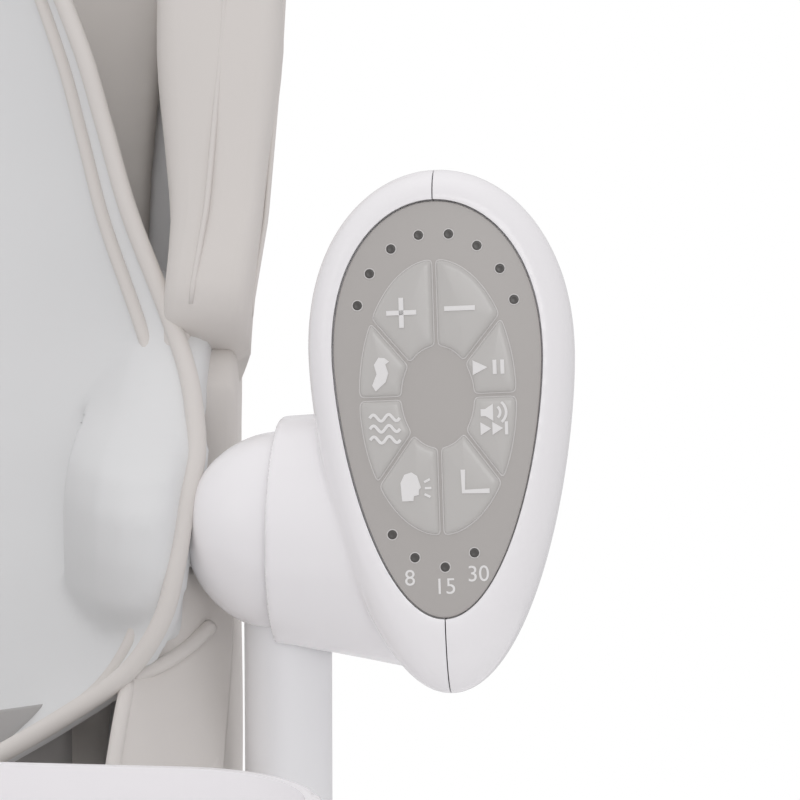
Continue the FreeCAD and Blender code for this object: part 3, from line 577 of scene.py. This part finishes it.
def resampled(ring, count):
    """The closed ring with evenly spaced points."""
    pts = list(ring) + [ring[0]]
    reach = [0.0]
    for a, b in zip(pts, pts[1:]):
        reach.append(reach[-1] + (b - a).length)
    out, k = [], 0
    for i in range(count):
        want = reach[-1] * i / count
        while reach[k + 1] < want:
            k += 1
        share = (want - reach[k]) / max(1e-12, reach[k + 1] - reach[k])
        out.append(pts[k] + (pts[k + 1] - pts[k]) * share)
    return out


PANEL_EDGE = ((0.35, 3.3), (0.35, 1.5), (0.5, 1.27), (0.8, 1.2))


def build_panel():
    """The panel's face plate with its softened edge."""
    rings = [egg_ring(inset, 0.0, depth) for inset, depth in PANEL_EDGE]
    return sharp_shade(loft("panel_plate", rings), 50)


def build_lamps():
    """The lamp dots, dark partly in the lamps' own colour and partly as painted shade for the holes they sit
    in, and the ring round each, whose lighter tone is a painted highlight on the hole's edge.
    """
    places = [(27.5 * math.sin(math.radians(a)), 27.4 + 31.9 * math.cos(math.radians(a)))
              for a in (-75, -53.6, -32.1, -10.7, 10.7, 32.1, 53.6, 75)]
    places += [(-17.0, -42.2), (-9.6, -50.2), (0.5, -53.7), (10.5, -49.2)]
    dots, rings = [], []
    for x, y in places:
        middle = on_face(x, y, PANEL_TOP)
        out = FACE.to_3x3() @ Vector((0, 0, 1))
        dots.append(lathe("dot", [(-0.5, 1.6), (0.12, 1.6), (0.2, 1.3), (0.1, 0.7)], middle, out, 32))
        circle = [on_face(x + 1.75 * math.cos(a), y + 1.75 * math.sin(a), PANEL_TOP)
                  for a in (2 * math.pi * k / 33 for k in range(34))]
        rings.append(tube("ring", circle, 0.22 * MM, 6))
    return joined(dots, "lamp_dots"), joined(rings, "lamp_rings")


def face_ribbon(name, line, width, height, lift, closed):
    """One flat stroke along the line."""
    pts = [Vector(p) for p in line]
    if closed:
        pts.append(pts[0])
    left, right = [], []
    for i, p in enumerate(pts):
        ahead = (pts[min(i + 1, len(pts) - 1)] - pts[max(i - 1, 0)]).normalized()
        side = Vector((-ahead.y, ahead.x)) * width / 2
        left.append(p + side)
        right.append(p - side)
    return plate(name, left + right[::-1], height, lift)


def plate(name, outline, height, lift):
    """A thin raised shape on the face."""
    low = [on_face(p[0], p[1], height) for p in outline]
    high = [on_face(p[0], p[1], height + lift) for p in outline]
    count = len(outline)
    faces = [tuple(range(count, 2 * count)), tuple(range(count))[::-1]]
    faces += [(i, (i + 1) % count, count + (i + 1) % count, count + i) for i in range(count)]
    return mesh_object(name, low + high, faces, False)


def arc(cx, cy, radius, start, end, steps=10):
    angles = [math.radians(start + (end - start) * k / steps) for k in range(steps + 1)]
    return [(cx + radius * math.cos(a), cy + radius * math.sin(a)) for a in angles]


def icon_parts():
    """The symbol on each key as strokes and filled shapes: (strokes, width, shapes), in face millimetres."""
    wave = [(x * 0.25, 1.1 * math.sin(x * 0.25 * 2 * math.pi / 5.2)) for x in range(42)]
    waves = [[(-23.4 + x, -6.5 + rise + y) for x, y in wave] for rise in (-3.7, 0, 3.7)]
    bird = [(-22.2, 8.2), (-20.6, 12.0), (-21.4, 15.2), (-19.8, 17.6), (-17.8, 17.4), (-16.2, 16.2),
            (-17.5, 15.2), (-16.6, 12.2), (-17.6, 9.2), (-19.4, 7.6), (-21.0, 6.2)]
    head = [(-13.2, -31.2), (-13.4, -28.4), (-13.6, -25.0), (-12.2, -22.2), (-9.8, -21.5), (-7.9, -22.8),
            (-7.2, -25.2), (-6.7, -26.8), (-7.4, -27.4), (-7.5, -29.2), (-9.2, -29.6), (-9.4, -31.2)]
    return {
        "key_faster": ([[(-16.7, 32.5), (-6.5, 32.5)], [(-11.6, 27.4), (-11.6, 37.6)]], 1.6, []),
        "key_slower": ([[(3.0, 33.3), (13.4, 33.3)]], 1.6, []),
        "key_melody": ([], 1, [bird]),
        "key_play": ([[(19.4, 10.6), (19.4, 15.4)], [(22.0, 10.6), (22.0, 15.4)]], 1.3,
                     [[(12.0, 10.5), (12.0, 15.5), (17.0, 13.0)]]),
        "key_waves": (waves, 1.0, []),
        "key_volume": ([arc(18.4, -2.3, 2.4, -50, 50), arc(18.4, -2.3, 4.4, -50, 50)], 0.9,
                       [[(14.2, -3.5), (14.2, -1.1), (15.8, -1.1), (18.4, 0.6), (18.4, -5.2), (15.8, -3.5)],
                        [(14.0, -9.9), (14.0, -5.5), (17.6, -7.7)],
                        [(18.0, -9.9), (18.0, -5.5), (21.6, -7.7)],
                        [(22.2, -9.9), (22.2, -5.5), (23.3, -5.5), (23.3, -9.9)]]),
        "key_voice": ([[(-5.6, -25.0), (-3.6, -24.0)], [(-5.4, -27.0), (-3.2, -27.0)],
                       [(-5.6, -29.0), (-3.6, -30.0)]],
                      0.8, [head]),
        "key_timer": ([[(7.6, -21.2), (7.6, -28.6), (16.4, -28.6)]], 1.6, []),
    }


def build_icon(node, height):
    lines, width, shapes = icon_parts()[node]
    parts = [face_ribbon(f"line_{k}", line, width, height, 0.3, False) for k, line in enumerate(lines)]
    parts += [plate(f"shape_{k}", shape, height, 0.3) for k, shape in enumerate(shapes)]
    return joined(parts, f"symbol_{node}")


def build_numbers():
    """The timer's minutes under its lamps."""
    parts = []
    for text, x, y in (("8", -11.5, -57.2), ("15", 0.3, -60.4), ("30", 11.6, -56.5)):
        curve = bpy.data.curves.new(f"minutes_{text}", "FONT")
        curve.body = text
        curve.size = 7.6 * MM
        curve.extrude = 0.12 * MM
        curve.align_x = "CENTER"
        curve.align_y = "CENTER"
        obj = bpy.data.objects.new(f"minutes_{text}", curve)
        bpy.context.scene.collection.objects.link(obj)
        obj.matrix_world = FACE @ Matrix.Translation((x * MM, y * MM, (PANEL_TOP + 0.1) * MM))
        only(obj)
        bpy.ops.object.convert(target="MESH")
        obj = bpy.context.view_layer.objects.active
        obj.data.transform(obj.matrix_world)
        obj.matrix_world = Matrix.Identity(4)
        parts.append(obj)
    return joined(parts, "timer_numbers")


def build_rims():
    """The thin ridge around each key, in a lighter tone that is a painted highlight along the key's edge."""
    parts = []
    for node in sorted(KEY_SPANS):
        line = resampled([on_face(p.x, p.y, PANEL_TOP) for p in key_outline(node, 0.12)], 160)
        parts.append(tube(f"rim_{node}", line + line[:2], 0.3 * MM, 6))
    return joined(parts, "key_rims")


# ---------------------------------------------------------------- seat fabric

WING_OUTER = ((215, 191.5), (260, 195.5), (330, 196.5), (505, 194.0))
WING_INNER = ((215, 161.0), (260, 159.0), (330, 150.0), (420, 140.0), (505, 138.0))


def wing_front(along):
    """How far the side wing stands off the back."""
    if along > 430:
        return 98 - (75 - math.sqrt(max(0.0, 75 ** 2 - (along - 430) ** 2)))
    if along < 230:
        return 98 - (15 - math.sqrt(max(0.0, 15 ** 2 - (230 - along) ** 2)))
    return 98.0


def wing_ring(side, along):
    """A section of the padded side wing, from the inner rear round the front edge to the outer rear."""
    front = wing_front(along)
    outer = between(WING_OUTER, along)
    inner = between(WING_INNER, along)
    corners = [(inner - 5, 10), (inner - 3, front * 0.45), (inner, front - 9), (outer - 21, front - 2),
               (outer - 2, front - 3), (outer, front - 14), (outer - 8, front * 0.45),
               (outer - 22, -1.5), (150, -1.5)]
    loop = rounded_loop(corners, (6, 30, 12, 9, 5, 8, 30, 10, 6), 6)
    return [on_back(side * p.x, along, p.y) for p in loop]


def build_wing(name, side):
    stations = [215, 217, 222, 230] + [240 + 10 * k for k in range(20)]
    stations += [436 + 6 * k for k in range(11)] + [500, 503, 505]
    rings = []
    for along in stations:
        ring = wing_ring(side, along)
        pinch = 1.0
        if along <= 217:
            pinch = 0.93 if along == 215 else 0.98
        if along >= 503:
            pinch = 0.9 if along == 505 else 0.97
        centre = sum(ring, Vector()) / len(ring)
        rings.append([centre + (p - centre) * pinch for p in ring])
    wing = loft(name, rings)
    rng = random.Random(3)
    for v in wing.data.vertices:
        place = v.co / MM
        v.co += v.normal * (0.9 * math.sin(place.z / 23 + place.y / 31) + rng.uniform(-0.12, 0.12)) * MM
    return wing


def wing_line(side, corner):
    """The places of one corner of the wing's section all along it."""
    return [wing_ring(side, along)[corner * 7 + 3] for along in range(222, 500, 6)]


def build_wing_seams(side):
    front = tube("seam", wing_line(side, 3), 1.1 * MM, 8)
    rear = tube("seam", wing_line(side, 5), 1.0 * MM, 8)
    return [front, rear]


def softened(node, name, cell, rounds, swell=0.0, wrinkle=0.0, taper=0.0):
    """A padded skin made from a CAD piece's own shape: even cells, softened corners and slight wrinkles."""
    source = frame["nodes"][node]
    obj = source.copy()
    obj.data = source.data.copy()
    obj.hide_render = False
    obj.hide_viewport = False
    obj.parent = None
    obj.matrix_world = Matrix.Identity(4)
    for key in list(obj.keys()):
        del obj[key]
    bpy.context.scene.collection.objects.link(obj)
    obj = melt([obj], cell, rounds, name)
    for v in obj.data.vertices:
        p = v.co / MM
        lift = swell + wrinkle * (math.sin(p.x / 17 + p.z / 29) + math.sin(p.y / 13 + p.x / 41)) / 2
        v.co += v.normal * lift * MM
        v.co.x -= math.copysign(taper * max(0.0, p.y - 30) * MM, p.x)
    apply_modifier(obj, "SUBSURF", levels=1)
    for poly in obj.data.polygons:
        poly.use_smooth = True
    return obj


INSERT_RIM = ((336, 118, 78.4), (300, 131, 79), (265, 143, 79.1), (226, 160, 79.5), (201, 170, 88),
              (181, 176, 98.5), (158, 180, 107.6), (135, 179, 116.5), (114, 177.5, 117), (95, 173, 112),
              (78, 161, 105), (63, 140, 101))


def insert_edge():
    """The newborn insert's edge from its top centre down one side, as (across, along, off)."""
    top = [(0, 438, 46), (34, 433, 50), (66, 417, 57), (94, 386, 67)]
    side = [(x, along, off) for along, x, off in INSERT_RIM]
    foot = [(112, 46, 98)]
    return smooth_path(top + side + foot, 6)


def insert_point(edge, share):
    """A point of the insert's inner face: share 1 on the edge, 0 on the middle line."""
    x, along, off = edge
    floor = 30 + 3 * math.cos(along / 40)
    return x * share, along, floor + (off - floor) * share ** 2.6


def build_insert():
    """The newborn insert: a padded trough with a rolled edge."""
    edge = insert_edge()
    shares = [k / 18 for k in range(-18, 19)]
    front, rear = [], []
    for e in edge[1:]:
        front.append([on_back(*insert_point((e[0] * (1 if s > 0 else -1), e[1], e[2]), abs(s)))
                      for s in shares])
    for e in edge[1:]:
        row = []
        for s in shares:
            x, along, off = insert_point((e[0] * (1 if s > 0 else -1), e[1], e[2]), abs(s))
            row.append(on_back(x * 1.02, along, off - 11))
        rear.append(row)
    rings = [f + r[::-1] for f, r in zip(front, rear)]
    body = loft("insert", rings)
    return melt([body, side_bolster(1), side_bolster(-1)], 2.4, 12, "newborn_insert_pad")


def insert_rolls():
    """The bound edge of the insert and a second soft roll just inside it."""
    edge = insert_edge()
    whole = [Vector((-e.x, e.y, e.z)) for e in edge[:0:-1]] + list(edge)
    outer = tube("roll", [on_back(*e) for e in whole], 3.4 * MM, 14)
    inner_line = []
    for e in whole:
        x, along, off = insert_point((e.x, e.y, e.z), 0.93)
        inner_line.append(on_back(x, along - 1.5, off + 0.5))
    inner = tube("roll", inner_line, 2.6 * MM, 12)
    return joined([outer], "insert_edge_band"), joined([inner], "insert_inner_roll")


def side_front(side):
    """The lower front cover beside the seat: it slants from under the hub ball down to the seat's edge."""
    rows = []
    for z, inner, outer, y_in, y_out in (
            (-14, 172, 188, -2, 22), (-26, 166, 190, -14, 20), (-40, 162, 190, -24, 18),
            (-56, 161, 190, -36, 10), (-75, 160, 190, -50, 0), (-95, 159, 190, -64, -12),
            (-120, 158, 190, -80, -26)):
        row = []
        for k in range(13):
            t = k / 12
            bulge = 3.5 * math.sin(math.pi * t) + 1.2 * math.sin(3 * math.pi * t + z / 11)
            row.append(at(side * (inner + (outer - inner) * t), y_in + (y_out - y_in) * t - bulge, z))
        rows.append(row)
    sheet = loft("side_front", rows, closed=False, capped=False)
    apply_modifier(sheet, "SUBSURF", levels=2)
    apply_modifier(sheet, "SOLIDIFY", thickness=2.4 * MM, offset=0)
    return sheet


def slit_bindings(side):
    """The bound slit under the ball and the bound front edge below it."""
    upper = smooth_path([(162, -28, -47), (167, -20, -34), (172, -8, -26), (177, 2, -22)], 8)
    lower = smooth_path([(162, -28, -47), (170, -20, -45), (178, -8, -41), (185, 4, -35)], 8)
    front = smooth_path([(161, -30, -49), (160, -42, -62), (159, -54, -78), (158, -68, -98),
                         (157, -80, -120)], 8)
    out = []
    for k, (line, r) in enumerate(((upper, 2.2), (lower, 2.6), (front, 2.7))):
        out.append(tube(f"binding_{k}", [at(side * p[0], p[1], p[2]) for p in line], r * MM, 12))
    return out


STRAP_SECTION = ((1, 0.3), (0.94, 1), (-0.94, 1), (-1, 0.3), (-1, -0.3), (-0.94, -1), (0.94, -1), (1, -0.3))


def strap(name, points, width, thick, up):
    """A flat webbing strap along the points. up is the direction out of its face at each point."""
    line = smooth_path([at(*p) for p in points], 8)
    rings = []
    for i, p in enumerate(line):
        ahead = (line[min(i + 1, len(line) - 1)] - line[max(i - 1, 0)]).normalized()
        face = (Vector(up) - ahead * ahead.dot(Vector(up))).normalized()
        side = ahead.cross(face)
        w, t = width * MM / 2, thick * MM / 2
        rings.append([p + side * w * across + face * t * out for across, out in STRAP_SECTION])
    obj = loft(name, rings)
    length = sum((b - a).length for a, b in zip(line, line[1:]))
    return obj, length


def side_bolster(side):
    """The insert's padding where it passes in front of the seat's bracket and the hub."""
    rings = []
    for z, y in ((78, 72), (60, 57), (45, 32), (36, 16), (28, -4), (20, -20), (8, -29), (-8, -31), (-24, -28),
                 (-36, -17), (-44, 0)):
        rings.append([at(side * x, y + back, z) for x, back in (
            (128, 52), (138, 30), (148, 12), (158, 3), (167, 0), (173.5, 1.5), (176.2, 6), (176.4, 18),
            (176.4, 52))])
    return loft("side_bolster", rings)


def edge_cover(side):
    """The fabric binding along the front edge of the seat's side bracket."""
    line = smooth_path([(165, 76, 92), (165, 64, 72), (165, 55, 44), (165, 48, 12), (165, 34, -22)], 8)
    name = "edge_cover_right" if side > 0 else "edge_cover_left"
    return tube(name, [at(side * p.x, p.y, p.z) for p in line], 5.2 * MM, 16)


# ---------------------------------------------------------------- settings and operators


class SwingPodSettings(bpy.types.PropertyGroup):
    """Shape of the control pod's soft pieces."""

    lip_depth: bpy.props.FloatProperty(
        name="Lip depth", description="How far back the rounded lip round the panel reaches, in millimetres",
        default=15.0)
    lip_power: bpy.props.FloatProperty(
        name="Lip roundness", description="Above 1 the lip stays flat for longer before it turns back",
        default=1.0)
    key_rise: bpy.props.FloatProperty(
        name="Key rise", description="Height of the domed keys above the panel, in millimetres", default=1.3)


class SwingSeatSettings(bpy.types.PropertyGroup):
    """Softness of the seat's padded pieces."""

    cell: bpy.props.FloatProperty(
        name="Cell", description="Size of the even cells that a padded piece is made of, in millimetres",
        default=4.5)
    wrinkle: bpy.props.FloatProperty(
        name="Wrinkle", description="Height of the soft waves in the fabric, in millimetres", default=1.2)
    fill: bpy.props.FloatProperty(
        name="Fill", description="How full the cushions are, from slack to tight", default=0.7,
        subtype="FACTOR")


def shown(obj, slot_name, body, *nodes):
    """Dresses a piece, makes it move with its body and hides the CAD nodes it stands for."""
    dressed(obj, finish_named(slot_name))
    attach(obj, body)
    if nodes:
        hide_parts(*nodes)
    return obj


class BABYSWING_OT_cad_finishes(bpy.types.Operator):
    """Give every shown CAD node the finish of its slot"""

    bl_idname = "babyswing.cad_finishes"
    bl_label = "CAD finishes"

    def execute(self, context):
        for part in frame["record"]["subparts"]:
            name = part["node"]
            obj = frame["nodes"].get(name)
            if obj is None:
                raise RuntimeError(f"the frame has no node {name}")
            dressed(obj, finish_named(part["material_slot"]))
            sharp_shade(obj, 40)
        return {"FINISHED"}


class BABYSWING_OT_pod(bpy.types.Operator):
    """Build the two smooth halves of the control head"""

    bl_idname = "babyswing.pod"
    bl_label = "Control head"

    def execute(self, context):
        settings = context.scene.swing_pod
        inner, outer = build_head(settings.lip_depth, settings.lip_power)
        shown(inner, "white_gloss", "frame", "pod_inner_shell")
        shown(outer, "white_gloss", "frame", "pod_outer_shell")
        return {"FINISHED"}


class BABYSWING_OT_hubs(bpy.types.Operator):
    """Build the round hub balls on top of the posts"""

    bl_idname = "babyswing.hubs"
    bl_label = "Hub balls"

    def execute(self, context):
        for name, side in (("right", 1), ("left", -1)):
            shown(build_ball(f"ball_{name}", side), "white_gloss", "frame", f"hub_ball_{name}")
        return {"FINISHED"}


class BABYSWING_OT_keys(bpy.types.Operator):
    """Build the domed keys with their symbols, the ridges round them and the timer's numbers"""

    bl_idname = "babyswing.keys"
    bl_label = "Keys and symbols"

    def execute(self, context):
        rise = context.scene.swing_pod.key_rise
        ink = plastic("symbol_ink", linear(236, 235, 234), 0.4, 0.5, 0.02)
        # Lighter tone for the key ridges and lamp rings: a painted highlight along their edges.
        edge = plastic("edge_light", linear(216, 214, 212), 0.25, 0.35, 0.02)
        for node in sorted(KEY_SPANS):
            shown(key_dome(f"dome_{node}", node, rise), "clear_key", node, node)
            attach(dressed(build_icon(node, PANEL_TOP + rise + 0.03), ink), node)
        shown(build_panel(), "grey_panel", "frame", "control_panel")
        # The dark lamp dots carry painted shade for the lamp holes along with the lamps' own dark colour.
        dots, rings = build_lamps()
        shown(dots, "dark_lamp", "frame", "indicator_lamps")
        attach(dressed(rings, edge), "frame")
        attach(dressed(build_rims(), edge), "frame")
        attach(dressed(build_numbers(), ink), "frame")
        return {"FINISHED"}


class BABYSWING_OT_wings(bpy.types.Operator):
    """Build the padded side wings and their seams"""

    bl_idname = "babyswing.wings"
    bl_label = "Side wings"

    def execute(self, context):
        settings = context.scene.swing_seat
        for name, side in (("right", 1), ("left", -1)):
            wing = build_wing(f"wing_pad_{name}", side)
            shown(wing, "beige_fabric", "seat", f"wing_{name}")
            seams = joined(build_wing_seams(side), f"wing_seams_{name}")
            shown(seams, "beige_fabric", "seat")
            lower = softened(f"side_pad_{name}", f"side_cover_{name}", settings.cell, 5, -1.0,
                             settings.wrinkle, 0.13)
            shown(lower, "beige_fabric", "seat", f"side_pad_{name}")
            edge = edge_cover(side)
            shown(edge, "beige_fabric", "seat")
            front = side_front(side)
            front.name = f"side_front_{name}"
            shown(front, "beige_fabric", "seat")
            bindings = joined(slit_bindings(side), f"slit_bindings_{name}")
            shown(bindings, "beige_fabric", "seat")
        return {"FINISHED"}


class BABYSWING_OT_cushions(bpy.types.Operator):
    """Build the back, seat and leg cushions and the newborn insert"""

    bl_idname = "babyswing.cushions"
    bl_label = "Cushions"

    def execute(self, context):
        settings = context.scene.swing_seat
        for node in ("back_pad", "seat_pad", "leg_pad"):
            pad = softened(node, f"{node}_cushion", settings.cell, 6, 0.6, settings.wrinkle)
            shown(pad, "beige_fabric", "seat", node)
        insert = build_insert()
        shown(insert, "liner_fabric", "seat", "newborn_insert")
        for piece in insert_rolls():
            shown(piece, "beige_fabric", "seat")
        return {"FINISHED"}


class BABYSWING_OT_harness(bpy.types.Operator):
    """Build the webbing straps"""

    bl_idname = "babyswing.harness"
    bl_label = "Harness"

    def execute(self, context):
        straps = []
        for x in (-45, 45):
            along = [on_back(x, s, 38 + 2 * math.sin(s / 60)) for s in (100, 160, 220, 280, 330)]
            points = [((p.x) / MM, p.y / MM, (p.z - HUB) / MM) for p in along]
            straps.append(strap(f"shoulder_strap_{'left' if x < 0 else 'right'}", points, 25, 1.6, OFF_BACK))
        for side, name in ((1, "right"), (-1, "left")):
            points = [(side * x, y, z)
                      for x, y, z in ((24, -43, -78), (60, -38, -77), (100, -22, -76), (134, 6, -76))]
            straps.append(strap(f"lap_strap_{name}", points, 25, 1.6, (0, -1, 0)))
        crotch = [(0, -42, -134), (0, -43, -120), (0, -42, -98)]
        straps.append(strap("crotch_strap", crotch, 30, 1.8, (0, -1, 0)))
        for obj, length in straps:
            shown(obj, "webbing", "seat")
        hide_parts("harness_straps")
        return {"FINISHED"}


class BABYSWING_OT_stage(bpy.types.Operator):
    """Set the floor, the studio light and the camera"""

    bl_idname = "babyswing.stage"
    bl_label = "Stage"

    def execute(self, context):
        build_stage()
        return {"FINISHED"}


def area_light(name, place, target, size, power):
    light = bpy.data.lights.new(name, "AREA")
    light.shape = "RECTANGLE"
    light.size, light.size_y = size
    light.energy = power
    obj = bpy.data.objects.new(name, light)
    bpy.context.scene.collection.objects.link(obj)
    obj.location = place
    obj.rotation_euler = (Vector(target) - Vector(place)).to_track_quat("-Z", "Y").to_euler()
    return obj


CAMERA_TURN = math.radians(6)
CAMERA_LIFT = math.radians(8)
CAMERA_BACK = 1.4
CAMERA_AIM = (40.25, 45.85)
FLOOR_RADIUS = 1.25
FLOOR_SIDES = 96


def build_stage():
    """A plain pale floor, soft light from the front and above, and the close camera."""
    scene = bpy.context.scene
    scene.view_settings.view_transform = "Standard"
    world = bpy.data.worlds.new("studio")
    scene.world = world
    world.use_nodes = True
    tree = world.node_tree
    shader = tree.nodes["Background"]
    shader.inputs["Strength"].default_value = 1.0
    seen = tree.nodes.new("ShaderNodeLightPath")
    place = tree.nodes.new("ShaderNodeTexCoord")
    parts = tree.nodes.new("ShaderNodeSeparateXYZ")
    sky = tree.nodes.new("ShaderNodeValToRGB")
    for element, place_at, tone in zip(sky.color_ramp.elements, (0.25, 0.95), (0.5, 0.86)):
        element.position = place_at
        element.color = (tone, tone * 0.985, tone, 1.0)
    level = tree.nodes.new("ShaderNodeMapRange")
    level.inputs["From Min"].default_value = -1.0
    mix = tree.nodes.new("ShaderNodeMix")
    mix.data_type = "RGBA"
    mix.inputs["B"].default_value = (1.0, 1.0, 1.0, 1.0)
    tree.links.new(place.outputs["Generated"], parts.inputs["Vector"])
    tree.links.new(parts.outputs["Z"], level.inputs["Value"])
    tree.links.new(level.outputs["Result"], sky.inputs["Fac"])
    tree.links.new(sky.outputs["Color"], mix.inputs["A"])
    tree.links.new(seen.outputs["Is Camera Ray"], mix.inputs["Factor"])
    tree.links.new(mix.outputs["Result"], shader.inputs["Color"])
    angles = [2 * math.pi * k / FLOOR_SIDES for k in range(FLOOR_SIDES)]
    rim = [(FLOOR_RADIUS * math.cos(a), FLOOR_RADIUS * math.sin(a), -0.0005) for a in angles]
    floor = mesh_object("floor", rim, [tuple(range(FLOOR_SIDES))], False)
    floor.data.materials.append(plastic("floor_paint", linear(250, 250, 250), 0.8, 0.9, 0.02, cells=60.0))
    hub = at(212, 0, 0)
    lights = [
        area_light("front_box", hub + Vector((0.25, -1.6, 0.9)), hub, (0.7, 0.7), 3.2),
        area_light("left_box", hub + Vector((-1.5, -0.9, 0.8)), hub, (1.0, 1.0), 1.2),
        area_light("right_box", hub + Vector((1.6, -0.2, 0.5)), hub, (1.0, 1.0), 0.3),
        area_light("top_box", hub + Vector((0.0, 0.3, 1.9)), hub, (1.4, 1.4), 1.5),
    ]
    camera_data = bpy.data.cameras.new("camera")
    camera = bpy.data.objects.new("camera", camera_data)
    scene.collection.objects.link(camera)
    right = Vector((math.cos(CAMERA_TURN), math.sin(CAMERA_TURN), 0))
    level = math.cos(CAMERA_LIFT)
    ahead = Vector((-math.sin(CAMERA_TURN) * level, math.cos(CAMERA_TURN) * level, -math.sin(CAMERA_LIFT)))
    up = right.cross(ahead)
    target = hub + right * CAMERA_AIM[0] * MM + up * CAMERA_AIM[1] * MM
    camera.location = target - ahead * CAMERA_BACK
    camera.rotation_euler = Matrix((right, up, -ahead)).transposed().to_euler()
    camera_data.lens = 180
    camera_data.sensor_width = 36
    camera_data.clip_start = 0.05
    camera_data.clip_end = 30
    camera_data.dof.use_dof = False
    scene.camera = camera


class BABYSWING_PT_panel(bpy.types.Panel):
    """Buttons and settings in the sidebar"""

    bl_label = "Baby swing"
    bl_idname = "BABYSWING_PT_panel"
    bl_space_type = "VIEW_3D"
    bl_region_type = "UI"
    bl_category = "Baby swing"

    def draw(self, context):
        for settings in (context.scene.swing_pod, context.scene.swing_seat):
            box = self.layout.box()
            for key in settings.__annotations__:
                box.prop(settings, key)
        for operator in OPERATORS:
            self.layout.operator(operator.bl_idname)


OPERATORS = (BABYSWING_OT_cad_finishes, BABYSWING_OT_pod, BABYSWING_OT_hubs, BABYSWING_OT_keys,
             BABYSWING_OT_wings, BABYSWING_OT_cushions, BABYSWING_OT_harness, BABYSWING_OT_stage)
CLASSES = (SwingPodSettings, SwingSeatSettings) + OPERATORS + (BABYSWING_PT_panel,)


def register():
    for cls in CLASSES:
        bpy.utils.register_class(cls)
    bpy.types.Scene.swing_pod = bpy.props.PointerProperty(type=SwingPodSettings)
    bpy.types.Scene.swing_seat = bpy.props.PointerProperty(type=SwingSeatSettings)


def unregister():
    del bpy.types.Scene.swing_pod
    del bpy.types.Scene.swing_seat
    for cls in reversed(CLASSES):
        bpy.utils.unregister_class(cls)


def main():
    """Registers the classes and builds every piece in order."""
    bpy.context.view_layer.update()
    register()
    for operator in OPERATORS:
        group, action = operator.bl_idname.split(".")
        getattr(getattr(bpy.ops, group), action)()


if __name__ == "__main__":
    main()
